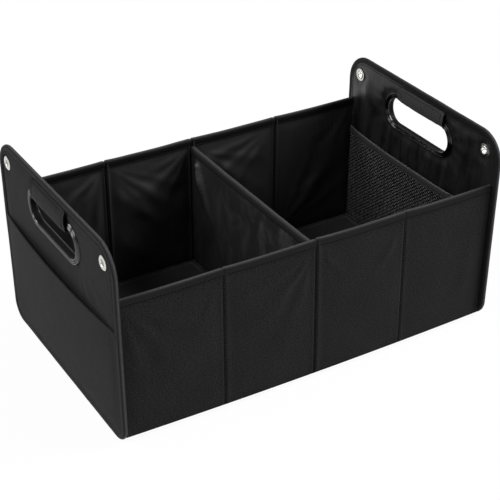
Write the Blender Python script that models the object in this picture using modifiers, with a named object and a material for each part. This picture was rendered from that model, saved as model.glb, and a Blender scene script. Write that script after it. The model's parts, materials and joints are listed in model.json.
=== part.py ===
"""Folding boot organizer: two stiff end panels with handle openings, two creased long walls,
a fixed divider, a base with loose floor boards, two outer pockets and one mesh pocket.

Metres, +Z up. X runs along the length and -Y is the front. The origin is under the middle of the
base, on the ground that the end panels stand on. Everything flat is built in a local frame whose
x runs along the panel, whose y points up and whose z points out of the organizer.
"""

import math

import bmesh
import bpy
from mathutils import Matrix, Vector

# Overall sizes
LENGTH = 0.504  # between the end panels' inner faces, at the floor
WIDTH = 0.302  # over the outer faces of the long walls
BASE_RISE = 0.0065  # the end panels stand on the ground and carry the base this high
WALL_HEIGHT = 0.1915
END_HEIGHT = 0.257
END_OVERHANG = 0.008  # how far an end panel stands past a long wall
END_LEAN = math.radians(0.5)  # the end panels splay outwards
END_TOP_RADIUS = 0.038
END_BOTTOM_RADIUS = 0.024

# Cloth, boards and tape
SEAT = 0.0003  # clearance between layers that touch
COVER = 0.0008  # coated polyester outside
LINING = 0.0008  # thin nylon inside
END_BOARD = 0.0025
WALL_BOARD = 0.0025
TAPE = 0.0008
TAPE_LIP = 0.009  # how far a folded tape reaches over a face
BOARD_CORNER = 0.003

# Long walls
WALL_PANELS = 4
CREASE_HALF = 0.004  # half the width of the soft strip between two boards
COVER_BULGE = 0.0018
LINING_BULGE = 0.0012
TOP_SAG = 0.0008  # the tape droops this much between two creases

# Handle opening and its two-piece plastic rim
HANDLE_LENGTH = 0.127
HANDLE_HEIGHT = 0.037
HANDLE_DROP = 0.046  # from an end panel's top edge to the middle of the opening
RIM_FLANGE = 0.0075
RIM_FLANGE_THICK = 0.0014
RIM_BEAD = 0.0010  # how far the bead and the ridge round it stand above the flange
RIM_RIDGE = 0.0020  # width of the ridge, with a groove of the same width inside it
RIM_NECK = 0.0020
WRAP_TURN = 30  # degrees of the opening's round ends that the cloth grip covers
WRAP_SAG = {"left": 0.007, "right": 0.0}  # how far the loose grip hangs under the opening's top

# Eyelets in the top corners
EYELET_EDGE = 0.027  # from an end panel's side edge to the middle of an eyelet
EYELET_DROP = 0.026  # from its top edge
EYELET_BORE = 0.0042
EYELET_WALL = 0.0007
EYELET_FLANGE = 0.0086
EYELET_DOME = 0.0014

# Pockets
POCKET_HEIGHT = 0.1525
POCKET_BULGE = 0.0085
NET_HEIGHT = 0.1505
NET_BULGE = 0.0065
NET_STRAND = 0.0018
NET_COLUMNS = 13
NET_ROWS = 7

# Divider and floor
DIVIDER_HEIGHT = 0.181
DIVIDER_BOARD = 0.0025
FLOOR_BOARD = 0.0035
FLOOR_CLEARANCE = 0.0035

ARC_STEPS = 6  # facets in a quarter circle
TURN_STEPS = 16  # facets round an eyelet

# Worked out from the sizes above
END_WIDTH = WIDTH + 2 * END_OVERHANG
HANDLE_CENTRE = END_HEIGHT - HANDLE_DROP
EYELET_HEIGHT = END_HEIGHT - EYELET_DROP
EYELET_SPACING = END_WIDTH - 2 * EYELET_EDGE
EDGE_TAPE = TAPE + SEAT
END_COVER_FACE = LINING + END_BOARD + COVER + 2 * SEAT
END_DEPTH = END_COVER_FACE + SEAT + TAPE
PANEL_RISE = END_DEPTH * math.sin(END_LEAN)
WALL_DEPTH = COVER + WALL_BOARD + LINING + 2 * SEAT
WALL_FOOT = BASE_RISE + COVER + SEAT
CREASE_DEPTH = (WALL_BOARD + SEAT) / 2
CREASES = [LENGTH * (k / WALL_PANELS - 0.5) for k in range(1, WALL_PANELS)]
INNER_WIDTH = WIDTH - 2 * WALL_DEPTH
DIVIDER_HALF = DIVIDER_BOARD / 2 + SEAT + LINING


def clear_scene():
    """Removes whatever the opened file holds."""
    for obj in list(bpy.data.objects):
        bpy.data.objects.remove(obj)


def new_collection(name):
    """A collection linked to the scene."""
    made = bpy.data.collections.new(name)
    bpy.context.scene.collection.children.link(made)
    return made


def material(name, colour, roughness, metallic=0.0):
    """A Principled BSDF of one colour."""
    made = bpy.data.materials.new(name)
    made.use_nodes = True
    shader = made.node_tree.nodes["Principled BSDF"]
    shader.inputs["Base Color"].default_value = (*colour, 1.0)
    shader.inputs["Roughness"].default_value = roughness
    shader.inputs["Metallic"].default_value = metallic
    return made


def frame(name, matrix):
    """An empty that carries one panel's local axes."""
    made = bpy.data.objects.new(name, None)
    PARTS.objects.link(made)
    made.matrix_world = matrix
    return made


def place(name, data, finish, parent, z=0.0):
    """Links an object for some mesh or curve data, under a frame."""
    made = bpy.data.objects.new(name, data)
    PARTS.objects.link(made)
    made.parent = parent
    made.location.z = z
    data.materials.append(finish)
    return made


def arc(centre, radius, start, end, steps):
    """Points of an arc, from angle start to angle end, both in degrees."""
    angles = [math.radians(start + (end - start) * k / steps) for k in range(steps + 1)]
    return [(centre[0] + radius * math.cos(a), centre[1] + radius * math.sin(a)) for a in angles]


def rounded_outline(width, bottom, top, bottom_radius, top_radius):
    """A rectangle with rounded corners, counter-clockwise, centred on x."""
    half = width / 2
    points = arc((half - bottom_radius, bottom + bottom_radius), bottom_radius, 270, 360, ARC_STEPS)
    points += arc((half - top_radius, top - top_radius), top_radius, 0, 90, ARC_STEPS)
    points += arc((top_radius - half, top - top_radius), top_radius, 90, 180, ARC_STEPS)
    points += arc((bottom_radius - half, bottom + bottom_radius), bottom_radius, 180, 270, ARC_STEPS)
    return points


def stadium(grow):
    """The handle opening's outline, grown all round."""
    radius = HANDLE_HEIGHT / 2 + grow
    reach = HANDLE_LENGTH / 2 - HANDLE_HEIGHT / 2
    points = arc((reach, HANDLE_CENTRE), radius, -90, 90, 2 * ARC_STEPS)
    return points + arc((-reach, HANDLE_CENTRE), radius, 90, 270, 2 * ARC_STEPS)


def circle(x, y, radius):
    """A round hole's outline."""
    return arc((x, y), radius, 0, 360 * (1 - 1 / TURN_STEPS), TURN_STEPS - 1)


def add_spline(curve, points):
    """Adds a closed straight-sided spline."""
    spline = curve.splines.new("POLY")
    spline.points.add(len(points) - 1)
    for point, (x, y) in zip(spline.points, points):
        point.co = (x, y, 0.0, 1.0)
    spline.use_cyclic_u = True


def plate(name, outlines, low, high, finish, parent):
    """A flat piece from z = low to z = high, with the first outline as its edge and holes inside."""
    curve = bpy.data.curves.new(name, "CURVE")
    curve.dimensions = "2D"
    curve.fill_mode = "BOTH"
    curve.extrude = (high - low) / 2
    for outline in outlines:
        add_spline(curve, outline)
    return place(name, curve, finish, parent, (low + high) / 2)


def rail(name, path, section, finish, parent):
    """A closed rail: section holds (outward distance, height) points, carried round the path."""
    profile = bpy.data.curves.new(name + "_section", "CURVE")
    profile.dimensions = "2D"
    add_spline(profile, [(-distance, height) for distance, height in section])
    guide = bpy.data.objects.new(name + "_section", profile)
    GUIDES.objects.link(guide)
    guide.hide_render = True
    guide.display_type = "WIRE"
    curve = bpy.data.curves.new(name, "CURVE")
    curve.dimensions = "2D"
    curve.fill_mode = "NONE"
    curve.bevel_mode = "OBJECT"
    curve.bevel_object = guide
    add_spline(curve, path)
    return place(name, curve, finish, parent)


def turned(name, section, centre, finish, parent):
    """A ring turned about the z axis through centre, from (radius, height) points."""
    mesh = bpy.data.meshes.new(name)
    shape = bmesh.new()
    points = [shape.verts.new((radius, 0.0, height)) for radius, height in section]
    for first, second in zip(points, points[1:] + points[:1]):
        shape.edges.new((first, second))
    shape.to_mesh(mesh)
    shape.free()
    made = place(name, mesh, finish, parent)
    made.location.xy = centre
    spin = made.modifiers.new("Turn", "SCREW")
    spin.steps = spin.render_steps = TURN_STEPS
    spin.use_merge_vertices = True
    spin.merge_threshold = 0.00001
    spin.use_smooth_shade = True
    return made


def ribbon(points, thickness):
    """The outline of a strip that follows the points, to their left side, in the (z, y) plane."""
    line = [Vector(point) for point in points]
    offset = []
    for k, point in enumerate(line):
        before = (point - line[k - 1]).normalized() if k else None
        after = (line[k + 1] - point).normalized() if k + 1 < len(line) else before
        before = before or after
        mean = (before + after).normalized()
        normal = Vector((-mean.y, mean.x))
        offset.append(point + normal * thickness / max(mean.dot(after), 0.5))
    return [tuple(p) for p in line] + [tuple(p) for p in reversed(offset)]


def swept(name, rings, finish, parent):
    """A solid carried through rings of points, with both ends closed."""
    mesh = bpy.data.meshes.new(name)
    shape = bmesh.new()
    first = [shape.verts.new(point) for point in rings[0]]
    edges = [shape.edges.new(pair) for pair in zip(first, first[1:] + first[:1])]
    shape.faces.new(first)
    ring = first
    for points in rings[1:]:
        grown = bmesh.ops.extrude_edge_only(shape, edges=edges)["geom"]
        moved = {v for v in grown if isinstance(v, bmesh.types.BMVert)}
        following = []
        for vertex, point in zip(ring, points):
            twin = next(e.other_vert(vertex) for e in vertex.link_edges if e.other_vert(vertex) in moved)
            twin.co = point
            following.append(twin)
        edges = [shape.edges.get(pair) for pair in zip(following, following[1:] + following[:1])]
        ring = following
    shape.faces.new(ring)
    bmesh.ops.recalc_face_normals(shape, faces=shape.faces[:])
    shape.to_mesh(mesh)
    shape.free()
    return place(name, mesh, finish, parent)


def sheet(name, columns, rows, surface, thickness, finish, parent, gap=0.0):
    """Cloth over a grid of stations: surface(column, row) gives each point, and z falls by thickness.

    A gap above zero opens each cell of the grid, which leaves a net of strands.
    """
    mesh = bpy.data.meshes.new(name)
    shape = bmesh.new()
    across, up = len(columns) - 1, len(rows) - 1
    bmesh.ops.create_grid(shape, x_segments=across, y_segments=up, size=0.5)
    for vertex in shape.verts:
        column = columns[round((vertex.co.x + 0.5) * across)]
        row = rows[round((vertex.co.y + 0.5) * up)]
        vertex.co = surface(column, row)
    if gap:
        cells = bmesh.ops.inset_individual(shape, faces=shape.faces[:], thickness=gap)
        holes = [face for face in shape.faces if face not in set(cells["faces"])]
        bmesh.ops.delete(shape, geom=holes, context="FACES")
    shape.to_mesh(mesh)
    shape.free()
    made = place(name, mesh, finish, parent)
    wall = made.modifiers.new("Thickness", "SOLIDIFY")
    wall.thickness = thickness
    wall.offset = -1.0
    return made


def arch(share):
    """0 at both ends of a span, 1 in its middle."""
    return 4 * share * (1 - share)


def clamp(value):
    """The value kept between 0 and 1."""
    return min(max(value, 0.0), 1.0)


# End panels


def end_frame(name, side):
    """The frame of an end panel; its z = 0 is the lining's inner face, and it leans outwards."""
    upright = Matrix(((0, 0, side, 0), (side, 0, 0, 0), (0, 1, 0, 0), (0, 0, 0, 1)))
    lean = Matrix.Rotation(side * END_LEAN, 4, "Y")
    return frame(name, Matrix.Translation((side * LENGTH / 2, 0, PANEL_RISE)) @ lean @ upright)


def end_outline(inset):
    """An end panel's edge, moved inwards by inset."""
    return rounded_outline(END_WIDTH - 2 * inset, inset, END_HEIGHT - inset,
                           END_BOTTOM_RADIUS - inset, END_TOP_RADIUS - inset)


def end_holes():
    """The handle opening and the two eyelet holes, cut through every layer."""
    bore = EYELET_BORE + EYELET_WALL + SEAT
    eyelets = [circle(side * EYELET_SPACING / 2, EYELET_HEIGHT, bore) for side in (-1, 1)]
    return [stadium(RIM_NECK + SEAT), *eyelets]


def end_layers(side_name, parent):
    """Lining, board and cover, and the folded tape that binds their edges."""
    board_low = LINING + SEAT
    cover_low = board_low + END_BOARD + SEAT
    inner = end_outline(EDGE_TAPE + TAPE_LIP + SEAT)
    whole = end_outline(EDGE_TAPE)
    holes = end_holes()
    plate(f"end_lining_{side_name}", [inner, *holes], 0.0, LINING, NYLON, parent)
    plate(f"end_board_{side_name}", [whole, *holes], board_low, board_low + END_BOARD, BOARD, parent)
    plate(f"end_cover_{side_name}", [whole, *holes], cover_low, END_COVER_FACE, POLYESTER, parent)
    bend = TAPE * 0.7
    section = [(-TAPE_LIP, 0.0), (EDGE_TAPE - bend, 0.0), (EDGE_TAPE, bend), (EDGE_TAPE, END_DEPTH - bend),
               (EDGE_TAPE - bend, END_DEPTH), (-TAPE_LIP, END_DEPTH), (-TAPE_LIP, END_DEPTH - TAPE),
               (SEAT, END_DEPTH - TAPE), (SEAT, TAPE), (-TAPE_LIP, TAPE)]
    rail(f"end_binding_{side_name}", whole, section, WEBBING, parent)


def rim_section(face, out, end):
    """Half of the handle rim: a flange on a face, a bead, a groove and a ridge on it, and a neck to end."""
    flange = face + out * (SEAT + RIM_FLANGE_THICK)
    bead = flange + out * RIM_BEAD
    seat = face + out * SEAT
    groove = RIM_NECK * 1.5
    ridge = groove + RIM_RIDGE
    section = [(0.0, end), (0.0, flange), (RIM_NECK * 0.4, bead), (RIM_NECK * 1.1, bead), (groove, flange),
               (ridge, flange), (ridge + RIM_RIDGE * 0.3, bead), (ridge + RIM_RIDGE * 0.7, bead),
               (ridge + RIM_RIDGE, flange), (RIM_FLANGE, seat), (RIM_NECK, seat), (RIM_NECK, end)]
    return section[::-1] if out > 0 else section


def handle(side_name, parent):
    """The two snap-in halves of the rim and the cloth grip that wraps the bar above the opening."""
    middle = (LINING + END_COVER_FACE) / 2
    opening = stadium(0.0)
    rail(f"handle_rim_outer_{side_name}", opening,
         rim_section(END_COVER_FACE, 1, middle + SEAT / 2), MOULDING, parent)
    rail(f"handle_rim_inner_{side_name}", opening, rim_section(0.0, -1, middle - SEAT / 2), MOULDING, parent)
    radius = HANDLE_HEIGHT / 2
    reach = HANDLE_LENGTH / 2 - radius
    clear = SEAT * 2 + RIM_FLANGE_THICK + RIM_BEAD
    ends = END_HEIGHT - EDGE_TAPE - TAPE_LIP - SEAT
    shoulder = HANDLE_CENTRE + radius + RIM_FLANGE
    drop = SEAT + WRAP_SAG[side_name]
    turn = arc((reach, HANDLE_CENTRE), radius, 90 - WRAP_TURN, 90, round(WRAP_TURN / 90 * ARC_STEPS))
    rings = []
    for x, top in turn + [(-x, top) for x, top in turn[::-1]]:
        path = [(END_COVER_FACE + SEAT, ends), (END_COVER_FACE + clear, shoulder),
                (END_COVER_FACE + clear, top - drop), (-clear, top - drop), (-clear, shoulder), (-SEAT, ends)]
        rings.append([(x, y, z) for z, y in ribbon(path, COVER)])
    swept(f"handle_wrap_{side_name}", rings, POLYESTER, parent)


def eyelets(side_name, parent):
    """A rolled metal eyelet and its washer in each top corner."""
    outside = EYELET_BORE + EYELET_WALL
    seat = END_COVER_FACE + SEAT
    washer_low, washer_high = -SEAT - EYELET_WALL, -SEAT
    roll = washer_low - SEAT
    eyelet = [(EYELET_FLANGE, seat), (outside, seat), (outside, roll), (outside * 1.3, roll),
              (outside * 1.25, roll - EYELET_WALL), (EYELET_BORE, roll - EYELET_WALL * 0.6),
              (EYELET_BORE, seat + EYELET_DOME * 0.5), (outside, seat + EYELET_DOME),
              (EYELET_FLANGE * 0.85, seat + EYELET_DOME * 0.8)]
    washer = [(EYELET_FLANGE, washer_high), (outside + SEAT, washer_high),
              (outside + SEAT, washer_low), (EYELET_FLANGE * 0.95, washer_low)]
    for end, where in ((-1, "a"), (1, "b")):
        corner = "front" if (end < 0) == (side_name == "right") else "back"
        centre = (end * EYELET_SPACING / 2, EYELET_HEIGHT)
        turned(f"eyelet_{side_name}_{corner}", eyelet, centre, NICKEL, parent)
        turned(f"eyelet_washer_{side_name}_{corner}", washer[::-1], centre, NICKEL, parent)


def outer_pocket(side_name, parent):
    """The open pocket on the outside, held in the tape at its sides and foot and loose at its top."""
    inset = EDGE_TAPE + TAPE_LIP + SEAT
    half = END_WIDTH / 2 - inset
    radius = END_BOTTOM_RADIUS - inset
    low = END_COVER_FACE + SEAT + COVER

    def surface(column, row):
        y = inset + row * (POCKET_HEIGHT - inset)
        corner = max(radius - (y - inset), 0.0)
        reach = half - radius + math.sqrt(max(radius**2 - corner**2, 0.0))
        swell = POCKET_BULGE * arch(column) ** 0.8 * math.sin(row * math.pi / 2) ** 1.2
        return Vector(((2 * column - 1) * reach, y, low + swell))

    columns = [k / 14 for k in range(15)]
    rows = [0.0, 0.02, 0.05, 0.12, 0.3, 0.5, 0.7, 0.85, 0.96, 1.0]
    sheet(f"outer_pocket_{side_name}", columns, rows, surface, COVER, POLYESTER, parent)


def mesh_pocket(parent):
    """The net pocket inside the right end panel, with a tape folded over its top edge."""
    half = INNER_WIDTH / 2 - SEAT - LINING_BULGE / 2
    foot = WALL_FOOT + SEAT - PANEL_RISE

    def swell(column, row):
        return NET_BULGE * arch(column) ** 0.8 * math.sin(row * math.pi / 2)

    def surface(column, row):
        y = foot + row * (NET_HEIGHT - TAPE - SEAT - foot)
        return Vector(((2 * column - 1) * half, y, -SEAT - TAPE - SEAT - swell(column, row)))

    columns = [k / NET_COLUMNS for k in range(NET_COLUMNS + 1)]
    rows = [k / NET_ROWS for k in range(NET_ROWS + 1)]
    sheet("mesh_pocket", columns, rows, surface, NET_STRAND / 2, NET, parent, gap=NET_STRAND)
    rings = []
    for column in columns:
        x = (2 * column - 1) * half
        z = -SEAT - swell(column, 1.0)
        near, far = z, z - 2 * TAPE - 2 * SEAT - NET_STRAND / 2
        low = NET_HEIGHT - TAPE_LIP
        outline = [(near, low), (near, NET_HEIGHT), (far, NET_HEIGHT), (far, low), (far + TAPE, low),
                   (far + TAPE, NET_HEIGHT - TAPE), (near - TAPE, NET_HEIGHT - TAPE), (near - TAPE, low)]
        rings.append([(x, y, depth) for depth, y in outline])
    swept("mesh_pocket_tape", rings, WEBBING, parent)


# Long walls


def wall_frame(name, side):
    """The frame of a long wall; its z = 0 is the cover's outer face. side is -1 at the front."""
    axes = Matrix(((-side, 0, 0, 0), (0, 0, side, side * WIDTH / 2), (0, 1, 0, 0), (0, 0, 0, 1)))
    return frame(name, axes)


def wall_end(height):
    """Where a long wall meets an end panel, which leans outwards with height."""
    return LENGTH / 2 - SEAT + max(height - PANEL_RISE, 0.0) * math.tan(END_LEAN)


def crease_share(x):
    """1 on a crease, falling to 0 where the boards begin."""
    return max([clamp(1 - abs(x - crease) / CREASE_HALF) for crease in CREASES])


def panel_share(x):
    """How far x lies along its own stiff panel, 0 at one crease and 1 at the next."""
    return (x / LENGTH + 0.5) * WALL_PANELS % 1


def wall_stations():
    """Places along a wall where its cloth is shaped: a few on each panel, and three at each crease."""
    ends = [-LENGTH / 2, *CREASES, LENGTH / 2]
    found = set(ends)
    for first, second in zip(ends, ends[1:]):
        found.update({first + CREASE_HALF, second - CREASE_HALF})
        found.update(first + (second - first) * share for share in (0.2, 0.5, 0.8))
    return sorted(found)


def wall_top(x):
    """The height of the wall's top edge, which droops between the creases."""
    return WALL_HEIGHT - TOP_SAG * arch(panel_share(x))


def wall_x(x, height):
    """A station's place, moved out with the leaning panel if it is at the wall's end."""
    return math.copysign(wall_end(height), x) if abs(x) > LENGTH / 2 - SEAT else x


def wall_cloth(name, face, bulge, crease, thickness, finish, parent):
    """A cover or lining in one length, swollen over each board and drawn in at each crease."""
    rows = [0.0, 0.25, 0.5, 0.75, 1.0]

    def surface(station, row):
        y = WALL_FOOT + row * (wall_top(station) - EDGE_TAPE - WALL_FOOT)
        rise = arch(clamp(row * WALL_HEIGHT / (WALL_HEIGHT - TAPE_LIP)))
        swell = bulge * arch(panel_share(station)) * rise
        return Vector((wall_x(station, y), y, face + swell + crease * crease_share(station)))

    sheet(name, wall_stations(), rows, surface, thickness, finish, parent)


def wall_tape(name, parent):
    """The tape folded over the top edge, pinched at each crease."""
    rings = []
    for station in wall_stations():
        top = wall_top(station)
        pinch = CREASE_DEPTH * crease_share(station)
        near = SEAT + TAPE - pinch
        far = -WALL_DEPTH - SEAT - TAPE + pinch
        low = top - TAPE_LIP
        bend = TAPE * 0.7
        outline = [(near, low), (near, top - bend), (near - bend, top), (far + bend, top), (far, top - bend),
                   (far, low), (far + TAPE, low), (far + TAPE, top - TAPE), (near - TAPE, top - TAPE),
                   (near - TAPE, low)]
        rings.append([(wall_x(station, y), y, depth) for depth, y in outline])
    swept(name, rings, WEBBING, parent)


def wall_boards(name, parent):
    """A stiff board in each panel of the wall, stopping short of the creases."""
    ends = [-LENGTH / 2, *CREASES, LENGTH / 2]
    margin = CREASE_HALF + BOARD_CORNER / 2
    high = -COVER - SEAT
    top = WALL_HEIGHT - TOP_SAG - EDGE_TAPE - SEAT
    for k, (first, second) in enumerate(zip(ends, ends[1:]), 1):
        shift = (first + second) / 2
        outline = rounded_outline(second - first - 2 * margin, WALL_FOOT + SEAT, top, BOARD_CORNER, BOARD_CORNER)
        outline = [(x + shift, y) for x, y in outline]
        plate(f"{name}_{k}", [outline], high - WALL_BOARD, high, BOARD, parent)


def long_wall(name, side):
    """Cover, boards, lining and top tape of the front or back wall."""
    parent = wall_frame(f"{name}_frame", side)
    inside = -WALL_DEPTH + LINING
    wall_cloth(f"{name}_cover", 0.0, COVER_BULGE, -CREASE_DEPTH, COVER, POLYESTER, parent)
    wall_cloth(f"{name}_lining", inside, -LINING_BULGE, CREASE_DEPTH, LINING, NYLON, parent)
    wall_boards(f"{name}_board", parent)
    wall_tape(f"{name}_tape", parent)


# Divider and base


def divider():
    """The cross wall on the middle crease: a board in a folded cover, with a tape along its top."""
    axes = Matrix(((0, 0, 1, 0), (1, 0, 0, 0), (0, 1, 0, 0), (0, 0, 0, 1)))
    parent = frame("divider_frame", axes)
    half = INNER_WIDTH / 2 - SEAT
    foot = WALL_FOOT + LINING
    top = DIVIDER_HEIGHT - EDGE_TAPE
    board = rounded_outline(2 * (half - CREASE_HALF), foot + SEAT, top - SEAT, BOARD_CORNER, BOARD_CORNER)
    plate("divider_board", [board], -DIVIDER_BOARD / 2, DIVIDER_BOARD / 2, BOARD, parent)
    inner = DIVIDER_HALF - LINING
    fold = ribbon([(inner, top), (inner, foot), (-inner, foot), (-inner, top)], LINING)
    ends = (-half, half)
    swept("divider_cover", [[(x, y, z) for z, y in fold] for x in ends], NYLON, parent)
    near = DIVIDER_HALF + EDGE_TAPE
    low = DIVIDER_HEIGHT - TAPE_LIP
    bend = TAPE * 0.7
    tape = [(near, low), (near, DIVIDER_HEIGHT - bend), (near - bend, DIVIDER_HEIGHT),
            (bend - near, DIVIDER_HEIGHT), (-near, DIVIDER_HEIGHT - bend), (-near, low), (TAPE - near, low),
            (TAPE - near, top + SEAT), (near - TAPE, top + SEAT), (near - TAPE, low)]
    swept("divider_tape", [[(x, y, z) for z, y in tape] for x in ends], WEBBING, parent)


def base():
    """The cloth base and a loose floor board on each side of the divider."""
    flat = frame("base_frame", Matrix.Identity(4))
    half_length = LENGTH / 2 - SEAT
    cover = [(-half_length, -WIDTH / 2), (half_length, -WIDTH / 2),
             (half_length, WIDTH / 2), (-half_length, WIDTH / 2)]
    plate("base_cover", [cover], BASE_RISE, BASE_RISE + COVER, POLYESTER, flat)
    near = DIVIDER_HALF + SEAT
    far = LENGTH / 2 - FLOOR_CLEARANCE
    half = INNER_WIDTH / 2 - FLOOR_CLEARANCE
    low = BASE_RISE + COVER + SEAT
    for side, side_name in ((-1, "left"), (1, "right")):
        middle = side * (near + far) / 2
        outline = rounded_outline(far - near, -half, half, BOARD_CORNER, BOARD_CORNER)
        outline = [(x + middle, y) for x, y in outline]
        plate(f"floor_board_{side_name}", [outline], low, low + FLOOR_BOARD, POLYESTER, flat)


clear_scene()
PARTS = new_collection("boot_organizer")
GUIDES = new_collection("guides")
POLYESTER = material("coated polyester", (0.020, 0.020, 0.021), 0.75)
NYLON = material("nylon lining", (0.012, 0.012, 0.013), 0.42)
WEBBING = material("binding tape", (0.022, 0.022, 0.023), 0.6)
BOARD = material("grey board", (0.30, 0.29, 0.27), 0.9)
MOULDING = material("black polypropylene", (0.006, 0.006, 0.006), 0.18)
NET = material("polyester net", (0.016, 0.016, 0.017), 0.55)
NICKEL = material("nickel plate", (0.72, 0.71, 0.69), 0.2, 1.0)

for end_side, end_name in ((-1, "left"), (1, "right")):
    end = end_frame(f"end_{end_name}_frame", end_side)
    end_layers(end_name, end)
    handle(end_name, end)
    eyelets(end_name, end)
    outer_pocket(end_name, end)
    if end_name == "right":
        mesh_pocket(end)
long_wall("front_wall", -1)
long_wall("back_wall", 1)
divider()
base()
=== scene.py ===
"""Studio model of a folding boot organizer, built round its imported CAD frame.

Metres, +Z up. X runs along the length, -Y is the front, and the ground is at the feet of the end
panels. Each part is shaped in the flat frame of its own panel, where x runs along the panel, y
points up and z points out of the organizer, and is then moved to its place in the mesh.
"""

import json
import logging
import math
from collections.abc import Callable, Sequence
from dataclasses import dataclass
from enum import Enum

import bmesh
import bpy
from mathutils import Matrix, Vector, noise

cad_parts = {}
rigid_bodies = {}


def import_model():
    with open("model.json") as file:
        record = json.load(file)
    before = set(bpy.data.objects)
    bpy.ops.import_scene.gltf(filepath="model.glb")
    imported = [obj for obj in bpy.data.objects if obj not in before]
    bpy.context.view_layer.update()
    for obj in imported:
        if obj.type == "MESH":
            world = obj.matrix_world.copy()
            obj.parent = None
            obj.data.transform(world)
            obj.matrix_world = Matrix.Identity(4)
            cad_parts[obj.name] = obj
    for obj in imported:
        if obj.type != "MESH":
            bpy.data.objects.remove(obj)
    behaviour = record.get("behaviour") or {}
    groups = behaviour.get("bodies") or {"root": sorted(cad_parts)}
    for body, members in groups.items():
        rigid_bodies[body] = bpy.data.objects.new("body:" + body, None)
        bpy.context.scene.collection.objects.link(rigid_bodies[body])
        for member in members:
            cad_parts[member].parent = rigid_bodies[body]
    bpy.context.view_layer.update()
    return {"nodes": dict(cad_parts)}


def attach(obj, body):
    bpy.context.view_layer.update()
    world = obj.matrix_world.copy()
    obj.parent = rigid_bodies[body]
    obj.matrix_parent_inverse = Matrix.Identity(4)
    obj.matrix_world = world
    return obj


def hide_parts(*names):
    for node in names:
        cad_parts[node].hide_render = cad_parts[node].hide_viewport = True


LOG = logging.getLogger("boot_organizer")
BODY = "root"
SHARP_ANGLE = math.radians(40)
THREAD_LIFT = 0.0001

Shape = bmesh.types.BMesh
Tree = bpy.types.NodeTree
Node = bpy.types.Node
Surface = Callable[[float, float], Vector]
Shift = Callable[[float], Vector]
Seam = Callable[[float], tuple[Vector, Vector]]


class Slot(Enum):
    """The record's material slots."""

    OXFORD = "coated_polyester"
    LINING = "nylon_lining"
    FLOOR = "floor_cloth"
    TAPE = "binding_tape"
    NET = "polyester_net"
    BOARD = "stiffener_board"
    MOULDING = "gloss_moulding"
    NICKEL = "nickel_plate"


class Side(Enum):
    """The two end panels, and which way each one faces along X."""

    LEFT = -1
    RIGHT = 1

    @property
    def label(self) -> str:
        """The word for this side in piece names."""
        return self.name.lower()


# Numbers and lines


def clamp(value: float, low: float = 0.0, high: float = 1.0) -> float:
    """The value kept between two limits."""
    return min(max(value, low), high)


def arch(share: float) -> float:
    """0 at both ends of a span, 1 in its middle."""
    return 4 * clamp(share) * (1 - clamp(share))


def dome(place: float, half: float) -> float:
    """1 in the middle of a span that is centred on 0, and 0 at both of its ends."""
    return arch(place / half / 2 + 0.5)


def eased(share: float) -> float:
    """A share from 0 to 1 with soft ends."""
    share = clamp(share)
    return share * share * (3 - 2 * share)


def stations(stops: Sequence[float], step: float) -> list[float]:
    """Places along a line, even between stops.

    Args:
        stops: places that are kept, in order.
        step: the widest space between two places, in metres.

    Returns:
        The stops and the places between them.
    """
    found = [stops[0]]
    for first, second in zip(stops, stops[1:]):
        count = max(1, math.ceil(abs(second - first) / step - 1e-6))
        found += [first + (second - first) * k / count for k in range(1, count + 1)]
    return found


def arc(centre: Vector, radius: float, start: float, end: float, steps: int) -> list[Vector]:
    """Points of an arc.

    Args:
        centre: the arc's middle.
        radius: its radius in metres.
        start: the first angle in degrees.
        end: the last angle in degrees.
        steps: how many chords it has.

    Returns:
        Its points, both ends among them.
    """
    angles = [math.radians(start + (end - start) * k / steps) for k in range(steps + 1)]
    return [centre + radius * Vector((math.cos(a), math.sin(a))) for a in angles]


class Track:
    """A flat line that a tape, rim or row of stitches follows, read by the distance along it."""

    def __init__(self, points: Sequence[Vector], closed: bool = False, step: float = 0.006) -> None:
        """Keeps the line's points and the distance of each.

        Args:
            points: the corners of the line, anticlockwise round a panel.
            closed: whether the last point joins the first.
            step: the widest space between two marks.
        """
        line = [Vector(p) for p in points]
        if closed:
            line.append(line[0].copy())
        corners = [0.0]
        for first, second in zip(line, line[1:]):
            corners.append(corners[-1] + (second - first).length)
        self.closed = closed
        self.line = line
        self.corners = corners
        self.marks = stations(corners, step)
        self.length = corners[-1]

    def _segment(self, distance: float) -> int:
        """The index of the straight segment that holds this distance."""
        last = len(self.corners) - 2
        return min(next((k for k, c in enumerate(self.corners[1:]) if distance <= c), last), last)

    def _corner_heading(self, index: int) -> Vector:
        """The heading at a corner, halfway between its two segments."""
        line, count = self.line, len(self.line) - 1
        after = line[index % count + 1] - line[index % count] if self.closed or index < count else None
        before = line[index] - line[index - 1] if index else (line[-1] - line[-2] if self.closed else None)
        found = Vector((0.0, 0.0))
        for heading in (before, after):
            if heading is not None:
                found += heading.normalized()
        return found.normalized()

    def at(self, distance: float) -> tuple[Vector, Vector]:
        """The point at a distance along the line, and the outward direction there.

        Args:
            distance: how far along the line, in metres.

        Returns:
            The point and a unit vector to the right of the way the line runs.
        """
        k = self._segment(distance)
        span = self.corners[k + 1] - self.corners[k]
        share = clamp((distance - self.corners[k]) / span) if span else 0.0
        point = self.line[k].lerp(self.line[k + 1], share)
        heading = self._corner_heading(k).lerp(self._corner_heading(k + 1), share).normalized()
        return point, Vector((heading.y, -heading.x))

    def beside(self, distance: float, outward: float, height: float) -> Vector:
        """The point at a distance along the line, this far outward from it and at this height."""
        point, away = self.at(distance)
        return Vector((*(point + away * outward), height))


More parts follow.
